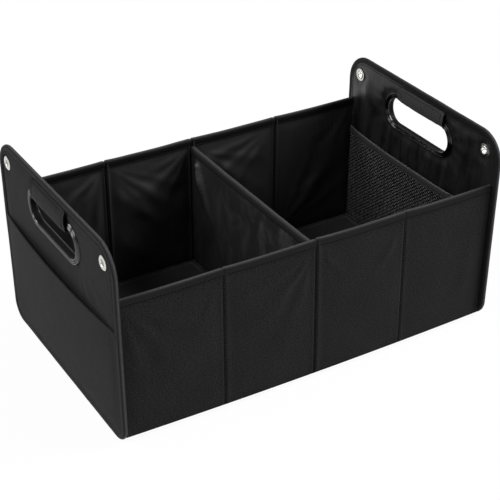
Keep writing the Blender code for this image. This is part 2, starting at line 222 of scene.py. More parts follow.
@dataclass(frozen=True)
class Outline:
    """A panel's edge: a rectangle with rounded corners, centred on x."""

    width: float
    bottom: float
    top: float
    bottom_radius: float
    top_radius: float

    def inset(self, distance: float) -> "Outline":
        """The same outline moved inwards."""
        return Outline(self.width - 2 * distance, self.bottom + distance, self.top - distance,
                       max(self.bottom_radius - distance, 0.001), max(self.top_radius - distance, 0.001))

    def reach(self, height: float) -> float:
        """Half of the panel's width at a height."""
        half = self.width / 2
        for radius, depth in ((self.bottom_radius, height - self.bottom),
                              (self.top_radius, self.top - height)):
            if depth < radius:
                rise = radius - max(depth, 0.0)
                half -= radius - math.sqrt(max(radius * radius - rise * rise, 0.0))
        return half

    def fit(self, x: float, y: float) -> tuple[float, float]:
        """Moves a point of the plain rectangle into the rounded one."""
        return x * self.reach(y) / (self.width / 2), y

    def track(self, steps: int = 10, step: float = 0.006) -> Track:
        """The outline as a closed line, with this many chords in each corner."""
        half, low, high = self.width / 2, self.bottom_radius, self.top_radius
        points = arc(Vector((half - low, self.bottom + low)), low, 270, 360, steps)
        points += arc(Vector((half - high, self.top - high)), high, 0, 90, steps)
        points += arc(Vector((high - half, self.top - high)), high, 90, 180, steps)
        points += arc(Vector((low - half, self.bottom + low)), low, 180, 270, steps)
        return Track(points, closed=True, step=step)


@dataclass(frozen=True)
class Opening:
    """A round-ended hole: its middle, half of its straight part as a vector, and its end radius."""

    x: float
    y: float
    radius: float
    reach_x: float = 0.0
    reach_y: float = 0.0

    def _foot(self, x: float, y: float) -> Vector:
        """The nearest point on the hole's middle line."""
        middle, reach = Vector((self.x, self.y)), Vector((self.reach_x, self.reach_y))
        if not reach.length:
            return middle
        share = clamp((Vector((x, y)) - middle).dot(reach) / reach.length_squared, -1.0, 1.0)
        return middle + reach * share

    def distance(self, x: float, y: float) -> float:
        """How far a point is outside the hole's edge; below zero inside it."""
        return (Vector((x, y)) - self._foot(x, y)).length - self.radius

    def snapped(self, x: float, y: float) -> Vector:
        """The nearest point on the hole's edge."""
        foot = self._foot(x, y)
        away = Vector((x, y)) - foot
        return foot + away.normalized() * self.radius if away.length else foot

    def grown(self, distance: float) -> "Opening":
        """The same hole, wider all round."""
        return Opening(self.x, self.y, self.radius + distance, self.reach_x, self.reach_y)

    def track(self, steps: int = 20, step: float = 0.004) -> Track:
        """The hole's edge as a closed line, for a hole that lies along x."""
        points = arc(Vector((self.x + self.reach_x, self.y)), self.radius, -90, 90, steps)
        points += arc(Vector((self.x - self.reach_x, self.y)), self.radius, 90, 270, steps)
        return Track(points, closed=True, step=step)


# Folds and creases in the cloth


@dataclass(frozen=True)
class PullFan:
    """Folds that fan out from a point where the cloth is caught.

    Heights are in metres. The angles are in degrees, from +x towards +y.
    """

    x: float
    y: float
    towards: float
    spread: float
    reach: float
    height: float
    folds: float = 3.0

    def rise(self, x: float, y: float) -> float:
        """How far the cloth stands up at a point."""
        away = Vector((x - self.x, y - self.y))
        if away.length < 1e-6:
            return 0.0
        turn = math.degrees(math.atan2(away.y, away.x)) - self.towards
        turn = (turn + 180) % 360 - 180
        side = 1 - abs(turn) / self.spread
        if side <= 0:
            return 0.0
        along = away.length / self.reach
        wobble = noise.noise(Vector((x, y, self.x)) * 45) * 0.9
        wave = 0.5 + 0.5 * math.cos(self.folds * math.pi * turn / self.spread + wobble)
        return self.height * along * along * math.exp(2 - 2 * along) * eased(side * 1.6) * wave**1.2


@dataclass(frozen=True)
class Ripple:
    """Uneven shallow waves all over a piece of cloth, stretched one way."""

    height: float
    across: float
    along: float
    seed: float = 0.0

    def rise(self, x: float, y: float) -> float:
        """How far the cloth stands up at a point."""
        return self.height * (0.5 + 0.5 * noise.noise(Vector((x / self.across, y / self.along, self.seed))))


@dataclass(frozen=True)
class Ridge:
    """One soft fold between two points."""

    start: tuple[float, float]
    end: tuple[float, float]
    width: float
    height: float

    def rise(self, x: float, y: float) -> float:
        """How far the cloth stands up at a point."""
        first, line = Vector(self.start), Vector(self.end) - Vector(self.start)
        share = (Vector((x, y)) - first).dot(line) / line.length_squared
        foot = first + line * clamp(share)
        distance = (Vector((x, y)) - foot).length / self.width
        bend = 1 - 0.35 * noise.noise(Vector((x, y, self.width)) * 40)
        return self.height * math.exp(-distance * distance) * (0.35 + 0.65 * arch(clamp(share))) * bend


Fold = PullFan | Ripple | Ridge


def raised(folds: Sequence[Fold], x: float, y: float) -> float:
    """The folds' heights added up at a point."""
    return sum(fold.rise(x, y) for fold in folds)


# Mesh shapes


def punch(shape: Shape, hole: Opening, margin: float = 0.0035) -> None:
    """Cuts a hole in a flat grid and draws the cut edge onto the hole's outline.

    Args:
        shape: a grid that still lies in the xy plane.
        hole: the hole.
        margin: how far from the outline a vertex of the cut edge may lie.
    """
    inside = [face for face in shape.faces if hole.distance(*face.calc_center_median().xy) < 0]
    if not inside:
        return
    bmesh.ops.delete(shape, geom=inside, context="FACES")
    for vertex in shape.verts:
        if vertex.is_boundary and hole.distance(*vertex.co.xy) < margin:
            vertex.co.xy = hole.snapped(*vertex.co.xy)


def lay_flat_map(shape: Shape) -> None:
    """Gives each corner a UV equal to its flat place, in metres."""
    layer = shape.loops.layers.uv.new("UVMap")
    for face in shape.faces:
        for loop in face.loops:
            loop[layer].uv = loop.vert.co.xy


def cloth(columns: Sequence[float], rows: Sequence[float], surface: Surface, thickness: float,
          holes: Sequence[Opening] = (),
          fit: Callable[[float, float], tuple[float, float]] | None = None) -> Shape:
    """A sheet shaped from a flat grid.

    Args:
        columns: flat x of each column of points, in metres.
        rows: flat y of each row.
        surface: gives the outer face's point for a flat place.
        thickness: the cloth's thickness, inwards from that face.
        holes: holes that are cut in it.
        fit: moves the flat grid into an outline first.

    Returns:
        The closed sheet.
    """
    shape = bmesh.new()
    across, up = len(columns) - 1, len(rows) - 1
    bmesh.ops.create_grid(shape, x_segments=across, y_segments=up, size=0.5)
    for vertex in shape.verts:
        x = columns[round((vertex.co.x + 0.5) * across)]
        y = rows[round((vertex.co.y + 0.5) * up)]
        vertex.co.xy = fit(x, y) if fit else (x, y)
    for hole in holes:
        punch(shape, hole)
    lay_flat_map(shape)
    for vertex in shape.verts:
        vertex.co = surface(vertex.co.x, vertex.co.y)
    bmesh.ops.remove_doubles(shape, verts=shape.verts[:], dist=1e-6)
    shape.normal_update()
    if thickness:
        bmesh.ops.solidify(shape, geom=shape.faces[:], thickness=thickness)
    return shape


def closed_sweep(track: Track, section: Sequence[tuple[float, float]]) -> Shape:
    """A ring that carries a closed section round a closed line.

    Args:
        track: the line.
        section: the section's corners as (outward distance, height).

    Returns:
        The closed ring.
    """
    corners = [*section, section[0]]
    marks = [0.0]
    for first, second in zip(corners, corners[1:]):
        marks.append(marks[-1] + math.dist(first, second))

    def surface(x: float, y: float) -> Vector:
        return track.beside(x, *min(zip(marks, corners), key=lambda pair: abs(pair[0] - y))[1])

    shape = cloth(track.marks, marks, surface, 0.0)
    bmesh.ops.recalc_face_normals(shape, faces=shape.faces[:])
    return shape


def turned_ring(profile: Sequence[tuple[float, float]], centre: Vector, steps: int = 40) -> Shape:
    """A closed profile spun round a z axis.

    Args:
        profile: corners as (radius, height).
        centre: the axis, in the panel's plane.
        steps: facets round the ring.

    Returns:
        The closed ring.
    """
    shape = bmesh.new()
    points = [shape.verts.new((centre.x + radius, centre.y, height)) for radius, height in profile]
    edges = [shape.edges.new(pair) for pair in zip(points, points[1:] + points[:1])]
    bmesh.ops.spin(shape, geom=points + edges, cent=(centre.x, centre.y, 0), axis=(0, 0, 1),
                   angle=math.tau, steps=steps, use_merge=True)
    bmesh.ops.recalc_face_normals(shape, faces=shape.faces[:])
    return shape


@dataclass(frozen=True)
class Stitching:
    """A lockstitch row: each stitch is a short pinched bead of thread."""

    length: float = 0.0030
    space: float = 0.0015
    width: float = 0.0014
    height: float = 0.0005

    def row(self, shape: Shape, place: Seam, start: float, end: float) -> None:
        """Adds a row of stitches.

        Args:
            shape: the mesh that they go into.
            place: gives the point on the cloth and the cloth's normal, at a distance along the row.
            start: the distance of the row's first end.
            end: the distance of its last end.
        """
        pitch = self.length + self.space
        for k in range(int((end - start) / pitch)):
            middle = start + (k + 0.5) * pitch
            point, normal = place(middle)
            ahead = place(middle + self.length / 2)[0] - place(middle - self.length / 2)[0]
            heading = ahead.normalized()
            across = normal.cross(heading).normalized()
            turn = Matrix((heading, across, heading.cross(across))).transposed().to_4x4()
            size = Matrix.Diagonal((self.length / 2, self.width / 2, self.height / 2, 1.0))
            bmesh.ops.create_icosphere(shape, subdivisions=1, radius=1.0,
                                       matrix=Matrix.Translation(point) @ turn @ size)


def sewn(point: Vector, way: int, lift: float = THREAD_LIFT) -> tuple[Vector, Vector]:
    """A stitch's place, just off the cloth, and the cloth's normal."""
    return point + Vector((0, 0, way * lift)), Vector((0, 0, way))


# Shader nodes and finishes

WHITE = (1.0, 1.0, 1.0, 1.0)
BLENDED = {"data_type": "RGBA"}
MULTIPLIED = {"data_type": "RGBA", "blend_type": "MULTIPLY"}


def linear(code: str) -> tuple[float, ...]:
    """The linear RGBA of an sRGB hex colour."""
    channels = [int(code[k:k + 2], 16) / 255 for k in (1, 3, 5)]
    return (*(c / 12.92 if c <= 0.04045 else ((c + 0.055) / 1.055) ** 2.4 for c in channels), 1.0)


def feed(node: Node, inputs: dict | Sequence) -> None:
    """Sets a node's inputs.

    Args:
        node: the node.
        inputs: a value, a socket or a node for each input, by name or in the order of those in use. A
            node stands for its first output in use.
    """
    if isinstance(inputs, dict):
        pairs = [(node.inputs[name], value) for name, value in inputs.items()]
    else:
        pairs = zip([socket for socket in node.inputs if socket.enabled], inputs)
    for socket, value in pairs:
        if isinstance(value, Node):
            value = next(output for output in value.outputs if output.enabled)
        if isinstance(value, bpy.types.NodeSocket):
            node.id_data.links.new(value, socket)
        else:
            socket.default_value = value


def add_node(tree: Tree, kind: str, inputs: dict | Sequence = (), **settings: object) -> Node:
    """Adds a node.

    Args:
        tree: the node tree.
        kind: the node's type, without the word ShaderNode.
        inputs: what goes into it, as feed takes it.
        settings: the node's own properties.

    Returns:
        The node.
    """
    node = tree.nodes.new("ShaderNode" + kind)
    for key, value in settings.items():
        setattr(node, key, value)
    feed(node, inputs)
    return node


def wave_scale(pitch: float) -> float:
    """The Wave Texture scale that gives bands this far apart, in metres."""
    return math.tau / 20 / pitch


@dataclass(frozen=True)
class Finish:
    """What a surface is made of. Each kind of finish adds its own nodes."""

    name: str
    slot: Slot
    colour: str
    roughness: float

    def dress(self, tree: Tree, shader: Node) -> None:
        """Adds the nodes that make this finish more than one colour."""
        raise NotImplementedError

    def material(self) -> bpy.types.Material:
        """The finish's material, made once."""
        found = bpy.data.materials.get(self.name)
        if found:
            return found
        made = bpy.data.materials.new(self.name)
        made.use_nodes = True
        shader = made.node_tree.nodes["Principled BSDF"]
        feed(shader, {"Base Color": linear(self.colour), "Roughness": self.roughness})
        self.dress(made.node_tree, shader)
        return made


@dataclass(frozen=True)
class OxfordCloth(Finish):
    """Coated polyester oxford: a matt plain weave of slightly uneven dyed yarn, which looks heathered."""

    fleck: str = "#272728"
    thread: float = 0.0011
    specular: float = 0.08

    def dress(self, tree: Tree, shader: Node) -> None:
        """Heathered colour, a plain weave in relief, and soft uneven wear."""
        uv = add_node(tree, "TexCoord").outputs["UV"]
        # The yarn is 0.5 mm apart on the real cloth, and is drawn at 1.1 mm so that it shows.
        stretched = add_node(tree, "Mapping", {"Vector": uv, "Scale": (0.55, 1.0, 1.0)})
        flecks = add_node(tree, "TexNoise", {"Vector": stretched, "Scale": 1 / 0.0012, "Detail": 2.0,
                                             "Roughness": 0.7})
        sharper = add_node(tree, "MapRange", [flecks, 0.39, 0.63])
        yarn = add_node(tree, "Mix", [sharper, linear(self.colour), linear(self.fleck)], **BLENDED)
        cloudy = add_node(tree, "TexNoise", {"Vector": uv, "Scale": 1 / 0.055, "Detail": 3.0})
        shade = add_node(tree, "MapRange", [cloudy, 0.3, 0.7, 0.88, 1.10])
        wear_and_sheen = add_node(tree, "Mix", [1.0, yarn, shade], **MULTIPLIED)
        threads = {"Vector": uv, "Scale": wave_scale(self.thread), "Distortion": 0.5}
        bands = [add_node(tree, "TexWave", threads, bands_direction=way).outputs["Fac"] for way in "XY"]
        weave = add_node(tree, "Math", bands, operation="MULTIPLY")
        uneven = add_node(tree, "Math", [weave, flecks], operation="ADD")
        relief = add_node(tree, "Bump", {"Strength": 0.55, "Distance": 0.00022, "Height": uneven})
        feed(shader, {"Base Color": wear_and_sheen, "Normal": relief, "Specular IOR Level": self.specular,
                      "Sheen Weight": 0.02, "Sheen Roughness": 0.6})


@dataclass(frozen=True)
class SatinLining(Finish):
    """Thin calendered nylon: smooth, with a soft shine that breaks up over fine pressed wrinkles."""

    specular: float = 0.28
    smudge: float = 0.07
    # How far the colour is painted lighter and darker in smudges, as highlight and shade.
    shading: float = 0.15
    relief: float = 0.0009
    # The colour and strength of the painted sheen patches, which stand in for highlights.
    sheen_colour: str = "#5c5c5d"
    sheen_amount: float = 0.0
    # How far the colour is painted darker and lighter along the wrinkles, as their shade.
    fold_shade: float = 0.0

    def dress(self, tree: Tree, shader: Node) -> None:
        """Fine upright wrinkles in relief, a smudged shine, and painted shade and painted sheen in the
        colour.
        """
        uv = add_node(tree, "TexCoord").outputs["UV"]
        drawn = add_node(tree, "Mapping", {"Vector": uv, "Scale": (1.0, 0.22, 1.0)})
        creases = add_node(tree, "TexNoise", {"Vector": drawn, "Scale": 1 / 0.013, "Detail": 4.0,
                                              "Distortion": 0.8})
        weave = add_node(tree, "TexNoise", {"Vector": uv, "Scale": 1 / 0.0011, "Detail": 1.0})
        grain = add_node(tree, "Math", [weave, 0.10], operation="MULTIPLY")
        height = add_node(tree, "Math", [creases, grain], operation="ADD")
        relief = add_node(tree, "Bump", {"Strength": 0.6, "Distance": self.relief, "Height": height})
        smudges = add_node(tree, "TexNoise", {"Vector": uv, "Scale": 1 / 0.03, "Detail": 3.0,
                                              "Distortion": 0.6})
        shine = add_node(tree, "MapRange", [smudges, 0.3, 0.7, self.roughness - self.smudge,
                                            self.roughness + self.smudge])
        # Painted highlight and shade: the colour is made lighter and darker in soft smudges, standing in for
        # the satin's broad highlights.
        painted_smudge_shade = add_node(tree, "MapRange", [smudges, 0.3, 0.7, 1 + self.shading, 1 - self.shading])
        # Painted shade: the colour is made darker and lighter along the upright wrinkles, standing in for the
        # light and shade on them.
        folded = add_node(tree, "MapRange", [creases, 0.36, 0.64, 1 - self.fold_shade, 1 + self.fold_shade])
        shades = add_node(tree, "Math", [painted_smudge_shade, folded], operation="MULTIPLY")
        colour = add_node(tree, "Mix", [1.0, linear(self.colour), shades], **MULTIPLIED)
        streaks = add_node(tree, "Mapping", {"Vector": uv, "Scale": (1.0, 0.6, 1.0)})
        marks = add_node(tree, "TexNoise", {"Vector": streaks, "Scale": 1 / 0.030, "Detail": 6.0,
                                            "Roughness": 0.66, "Distortion": 0.7})
        rubbed = add_node(tree, "MapRange", [marks, 0.47, 0.78, 0.0, self.sheen_amount])
        # Painted sheen: lighter patches stand in for the satin's highlights, and are strongest towards the
        # front end.
        along = add_node(tree, "SeparateXYZ", [uv]).outputs["X"]
        toward = add_node(tree, "MapRange", [along, -0.10, 0.10, 1.3, 0.25])
        amount = add_node(tree, "Math", [rubbed, toward], operation="MULTIPLY")
        wear_and_sheen = add_node(tree, "Mix", [amount, colour, linear(self.sheen_colour)], **BLENDED)
        feed(shader, {"Base Color": wear_and_sheen, "Roughness": shine, "Normal": relief,
                      "Specular IOR Level": self.specular})


@dataclass(frozen=True)
class RibbedTape(Finish):
    """Woven polyester binding tape: fine ribs across it, with a painted highlight along its fold and, where
    set, a painted shadow line along its edge.
    """

    # The colour of the painted highlight along the fold.
    rubbed: str = "#525253"
    rib: float = 0.0012
    fold: float = 0.0024
    # How strong the painted highlight along the fold is.
    wear: float = 1.2
    # Where the painted shadow line along the edge starts, as a distance from the fold.
    shadow_edge: float = 1.0

    def dress(self, tree: Tree, shader: Node) -> None:
        """Ribs in relief, a painted highlight along the fold where the map's second axis is zero, and a
        painted shadow line at the edge.
        """
        uv = add_node(tree, "TexCoord").outputs["UV"]
        # The ribs are 0.6 mm apart on the real tape, and are drawn at 1.2 mm so that they show.
        ribs = add_node(tree, "TexWave", {"Vector": uv, "Scale": wave_scale(self.rib), "Distortion": 1.0,
                                          "Detail": 1.0}, bands_direction="X")
        lint = add_node(tree, "TexNoise", {"Vector": uv, "Scale": 1 / 0.0014, "Detail": 2.0})
        height = add_node(tree, "Math", [ribs.outputs["Fac"], lint], operation="ADD")
        relief = add_node(tree, "Bump", {"Strength": 0.5, "Distance": 0.0002, "Height": height})
        across = add_node(tree, "SeparateXYZ", [uv]).outputs["Y"]
        away = add_node(tree, "Math", [across], operation="ABSOLUTE")
        # Painted highlight: the colour is made lighter along the fold, standing in for the light on its
        # rounded edge.
        near = add_node(tree, "MapRange", [away, 0.0, self.fold, self.wear, 0.0])
        patchy = add_node(tree, "Math", [near, lint], operation="MULTIPLY")
        colour = add_node(tree, "Mix", [patchy, linear(self.colour), linear(self.rubbed)], **BLENDED)
        # Painted shadow: a dark line along the tape's edge stands in for the shadow under it.
        pressed = add_node(tree, "MapRange", [away, self.shadow_edge, self.shadow_edge + 0.0004, 1.0, 0.12])
        edged = add_node(tree, "Mix", [1.0, colour, pressed], **MULTIPLIED)
        feed(shader, {"Base Color": edged, "Normal": relief, "Specular IOR Level": 0.12})


@dataclass(frozen=True)
class PlainYarn(Finish):
    """Spun polyester yarn, as sewn or knitted: soft, with a twist along it."""

    twist: float = 0.0009
    gloss: float = 0.3

    def dress(self, tree: Tree, shader: Node) -> None:
        """A twisted relief and a small change of shade from place to place."""
        place = add_node(tree, "TexCoord").outputs["Object"]
        plies = add_node(tree, "TexWave", {"Vector": place, "Scale": wave_scale(self.twist)},
                         bands_direction="DIAGONAL")
        relief = add_node(tree, "Bump", {"Strength": 0.4, "Distance": 0.0001, "Height": plies.outputs["Fac"]})
        patches = add_node(tree, "TexNoise", {"Vector": place, "Scale": 1 / 0.02, "Detail": 2.0})
        shade = add_node(tree, "MapRange", [patches, 0.3, 0.7, 0.8, 1.25])
        colour = add_node(tree, "Mix", [1.0, linear(self.colour), shade], **MULTIPLIED)
        feed(shader, {"Base Color": colour, "Normal": relief, "Specular IOR Level": self.gloss})


@dataclass(frozen=True)
class NetYarn(Finish):
    """Warp-knitted net yarn: thin and dark, with painted highlights that are brightest where strands meet."""

    # The colour of the painted highlight where strands meet.
    knot: str = "#6f6f70"
    cell: tuple[float, float] = (0.0068, 0.0049)
    under: float = 0.48
    over: float = 0.86

    def dress(self, tree: Tree, shader: Node) -> None:
        """Painted highlights along the upper strands, brightest where two strands meet."""
        uv = add_node(tree, "TexCoord").outputs["UV"]
        axes = add_node(tree, "SeparateXYZ", [uv])
        wide, tall = self.cell
        across = add_node(tree, "Math", [axes.outputs["X"], math.tau / wide], operation="MULTIPLY")
        waves = []
        # The strands that run one way lie over the others, and their painted highlight is stronger.
        for way, weight in ((1, self.under), (-1, self.over)):
            turn = add_node(tree, "Math", [axes.outputs["Y"], way * math.tau / tall, across],
                            operation="MULTIPLY_ADD")
            wave = add_node(tree, "Math", [turn], operation="COSINE")
            waves.append(add_node(tree, "Math", [wave, weight], operation="MULTIPLY"))
        meeting = add_node(tree, "Math", waves, operation="ADD")
        share = add_node(tree, "MapRange", [meeting, 0.38, 1.28])
        # The painted highlight is stronger at some meeting points than at their neighbours.
        turned = add_node(tree, "TexNoise", {"Vector": uv, "Scale": 1 / 0.0050, "Detail": 1.0})
        caught = add_node(tree, "MapRange", [turned, 0.35, 0.65, 0.6])
        bright = add_node(tree, "Math", [share, caught], operation="MULTIPLY")
        colour = add_node(tree, "Mix", [bright, linear(self.colour), linear(self.knot)], **BLENDED)
        feed(shader, {"Base Color": colour, "Specular IOR Level": 0.0})


@dataclass(frozen=True)
class PressedBoard(Finish):
    """Recycled dark board: matt, with loose fibres pressed flat. Only its cut edges are ever seen."""

    def dress(self, tree: Tree, shader: Node) -> None:
        """Fibres in colour and in relief."""
        place = add_node(tree, "TexCoord").outputs["Object"]
        fibres = add_node(tree, "TexNoise", {"Vector": place, "Scale": 1 / 0.002, "Detail": 4.0,
                                             "Distortion": 1.5})
        shade = add_node(tree, "MapRange", [fibres, 0.3, 0.7, 0.8, 1.15])
        colour = add_node(tree, "Mix", [1.0, linear(self.colour), shade], **MULTIPLIED)
        relief = add_node(tree, "Bump", {"Strength": 0.5, "Distance": 0.0002, "Height": fibres})
        feed(shader, {"Base Color": colour, "Normal": relief})


@dataclass(frozen=True)
class GlossMoulding(Finish):
    """Injection-moulded polypropylene from a polished tool: glossy black, very slightly wavy."""

    neck: float = 0.0034

    def dress(self, tree: Tree, shader: Node) -> None:
        """Faint flow waves and fine handling marks."""
        found = add_node(tree, "TexCoord")
        place = found.outputs["Object"]
        flow = add_node(tree, "TexNoise", {"Vector": place, "Scale": 1 / 0.009, "Detail": 1.0})
        relief = add_node(tree, "Bump", {"Strength": 0.35, "Distance": 0.0004, "Height": flow})
        marks = add_node(tree, "TexNoise", {"Vector": place, "Scale": 1 / 0.0025, "Detail": 3.0})
        shine = add_node(tree, "MapRange", [marks, 0.4, 0.75, self.roughness, self.roughness + 0.12])
        # The neck, the first part of the section, keeps a matt surface from its mould.
        across = add_node(tree, "SeparateXYZ", [found.outputs["UV"]]).outputs["Y"]
        shown = add_node(tree, "MapRange", [across, self.neck - 0.0006, self.neck, 0.08, 0.55])
        matt = add_node(tree, "MapRange", [across, self.neck - 0.0006, self.neck, 0.4, 0.0])
        rough = add_node(tree, "Math", [shine, matt], operation="ADD")
        feed(shader, {"Roughness": rough, "Specular IOR Level": shown, "Normal": relief})


@dataclass(frozen=True)
class NickelPlate(Finish):
    """Bright nickel on pressed steel: mirror-like, with soft tumbling marks."""

    def dress(self, tree: Tree, shader: Node) -> None:
        """Tumbling marks in the shine and a shallow uneven surface."""
        place = add_node(tree, "TexCoord").outputs["Object"]
        marks = add_node(tree, "TexNoise", {"Vector": place, "Scale": 1 / 0.0016, "Detail": 3.0})
        shine = add_node(tree, "MapRange", [marks, 0.35, 0.7, self.roughness, self.roughness + 0.22])
        relief = add_node(tree, "Bump", {"Strength": 0.4, "Distance": 0.0002, "Height": marks})
        feed(shader, {"Roughness": shine, "Normal": relief, "Metallic": 1.0})


OXFORD = OxfordCloth("woven oxford polyester", Slot.OXFORD, "#0b0b0c", 0.8)
GRIP_CLOTHS = {
    Side.LEFT: OxfordCloth("woven oxford grip cloth", Slot.OXFORD, "#0f0f10", 0.78, fleck="#2d2d2e"),
    # The right grip cloth is coloured lighter than the left.
    Side.RIGHT: OxfordCloth("rubbed oxford grip cloth", Slot.OXFORD, "#2b2b2c", 0.70, fleck="#3f3f40"),
}
# The linings are one nylon in three colours: the walls' is painted lighter as lit, the ends' is painted
# darker as shaded, and the divider's carries painted sheen.
LINING = SatinLining("calendered nylon lining", Slot.LINING, "#252526", 0.44, specular=0.55)
SHADED_END_LINING = SatinLining("calendered nylon end lining", Slot.LINING, "#141415", 0.42, specular=0.4,
                         fold_shade=0.6)
DIVIDER_CLOTH = SatinLining("calendered nylon divider cloth", Slot.LINING, "#202021", 0.44, specular=0.6,
                            smudge=0.12, shading=0.35, relief=0.0018, sheen_amount=0.5)
FLOOR_CLOTH = OxfordCloth("brushed polyester floor cloth", Slot.FLOOR, "#28282a", 0.8, fleck="#3c3c3e")
TAPE = RibbedTape("ribbed binding tape", Slot.TAPE, "#131314", 0.66)
# The divider's tape is the binding tape painted lighter, standing in for the light on its side.
DIVIDER_TAPE = RibbedTape("pale binding tape", Slot.TAPE, "#262627", 0.66, rubbed="#48484a", wear=1.1,
                          shadow_edge=0.0110)
NET_TAPE = RibbedTape("satin binding tape", Slot.TAPE, "#343435", 0.5, rubbed="#6a6a6b", fold=0.0020)
NET_YARN = NetYarn("knitted net yarn", Slot.NET, "#040404", 0.6)
THREAD = PlainYarn("black sewing thread", Slot.TAPE, "#030303", 0.8, gloss=0.03)
# Real stitches, coloured light as a painted highlight along the floor seams' welt.
SEAM_HIGHLIGHT_THREAD = PlainYarn("grey sewing thread", Slot.TAPE, "#6b6b6a", 0.6, gloss=0.2)
BOARD = PressedBoard("pressed dark board", Slot.BOARD, "#1d1c1b", 0.9)
MOULDING = GlossMoulding("gloss black polypropylene", Slot.MOULDING, "#050505", 0.12)
NICKEL = NickelPlate("bright nickel plate", Slot.NICKEL, "#d2d1cd", 0.14)


# Sizes that several parts share


@dataclass(frozen=True)
class Overall:
    """The organizer's sizes in metres, as the CAD frame has them."""

    length: float = 0.504
    width: float = 0.302
    base_rise: float = 0.0065
    wall_height: float = 0.1915
    end_height: float = 0.257
    end_overhang: float = 0.008
    lean: float = math.radians(0.5)
    seat: float = 0.0003
    cover: float = 0.0008
    lining: float = 0.0008
    board: float = 0.0025
    tape: float = 0.0008
    lip: float = 0.009
    panels: int = 4

    @property
    def drawn_tape(self) -> float:
        """The tape's own thickness: the CAD solid is thicker, as it has no stitches."""
        return self.tape * 0.75

    @property
    def drawn_lining(self) -> float:
        """The lining's own thickness: the rest of the CAD solid's is room for its folds."""
        return self.lining * 0.6

    @property
    def end_width(self) -> float:
        """The width of an end panel."""
        return self.width + 2 * self.end_overhang

    @property
    def edge_tape(self) -> float:
        """How far the tape stands past what it binds."""
        return self.tape + self.seat

    @property
    def end_face(self) -> float:
        """The height of an end panel's outer cloth over its lining's inner face."""
        return self.lining + self.board + self.cover + 2 * self.seat

    @property
    def end_depth(self) -> float:
        """The height of the binding's outer face."""
        return self.end_face + self.seat + self.tape

    @property
    def wall_depth(self) -> float:
        """A long wall's thickness."""
        return self.cover + self.board + self.lining + 2 * self.seat

    @property
    def wall_foot(self) -> float:
        """Where the long walls start, over the base cloth."""
        return self.base_rise + self.cover + self.seat

    @property
    def panel_rise(self) -> float:
        """How far a leaning end panel is lifted, so that its lowest edge is on the ground."""
        return self.end_depth * math.sin(self.lean)

    @property
    def inner_width(self) -> float:
        """The clear width between the long walls."""
        return self.width - 2 * self.wall_depth

    @property
    def creases(self) -> list[float]:
        """Where the long walls fold."""
        return [self.length * (k / self.panels - 0.5) for k in range(1, self.panels)]

    def bow(self, x: float) -> float:
        """How far a long wall's cloth is pushed out at the floor, in the middle of its length."""
        return 0.0035 * arch(x / self.length + 0.5)

    def end_axes(self, side: Side) -> Matrix:
        """The frame of an end panel: x along it, y up, z outwards."""
        s = side.value
        upright = Matrix(((0, 0, s, 0), (s, 0, 0, 0), (0, 1, 0, 0), (0, 0, 0, 1)))
        lean = Matrix.Rotation(s * self.lean, 4, "Y")
        return Matrix.Translation((s * self.length / 2, 0, self.panel_rise)) @ lean @ upright

    def wall_axes(self, facing: int) -> Matrix:
        """The frame of a long wall; facing is -1 at the front and 1 at the back."""
        return Matrix(((-facing, 0, 0, 0), (0, 0, facing, facing * self.width / 2), (0, 1, 0, 0),
                       (0, 0, 0, 1)))

    def cross_axes(self) -> Matrix:
        """The frame of the divider: x runs to the back, y up, z to the right."""
        return Matrix(((0, 0, 1, 0), (1, 0, 0, 0), (0, 1, 0, 0), (0, 0, 0, 1)))


@dataclass(frozen=True)
class FoldedTape:
    """A tape folded over an edge. Its width runs from the low face, over the fold at 0, to the high face."""

    low: float
    high: float
    edge: float
    lip: float
    round_depth: float = 0.0026
    stitch_from_end: float = 0.0021
    dip: float = 0.0006

    @property
    def quarter(self) -> float:
        """The width of half of the rounded fold."""
        return math.pi / 4 * (self.round_depth + (self.high - self.low) / 2)

    @property
    def half(self) -> float:
        """Half of the tape's width."""
        return self.quarter + self.lip + self.edge - self.round_depth

    @property
    def stitch_line(self) -> float:
        """Where the stitches run, as a distance from the fold."""
        return self.half - self.stitch_from_end

    def at(self, across: float) -> tuple[float, float]:
        """The section at a distance across the tape.

        Args:
            across: the distance from the fold, below zero on the low face.

        Returns:
            The outward distance from the edge and the height.
        """
        middle, rise = (self.low + self.high) / 2, (self.high - self.low) / 2
        way, distance = math.copysign(1.0, across), abs(across)
        if distance < self.quarter:
            turn = distance / self.quarter * math.pi / 2
            return self.edge - self.round_depth * (1 - math.cos(turn)), middle + way * rise * math.sin(turn)
        groove = math.exp(-(((distance - self.stitch_line) / 0.0010) ** 2))
        rounded = clamp((distance - self.half + 0.0008) / 0.0008) ** 2
        height = rise - self.dip * groove - 0.00025 * rounded
        return self.edge - self.round_depth - (distance - self.quarter), middle + way * height

    def rows(self) -> list[float]:
        """Places across the tape that its shape needs."""
        upper = [self.quarter * k / 4 for k in range(4)]
        upper += stations([self.quarter, self.stitch_line - 0.0016, self.stitch_line, self.half - 0.0008,
                           self.half], 0.0012)
        return [-v for v in upper[:0:-1]] + upper

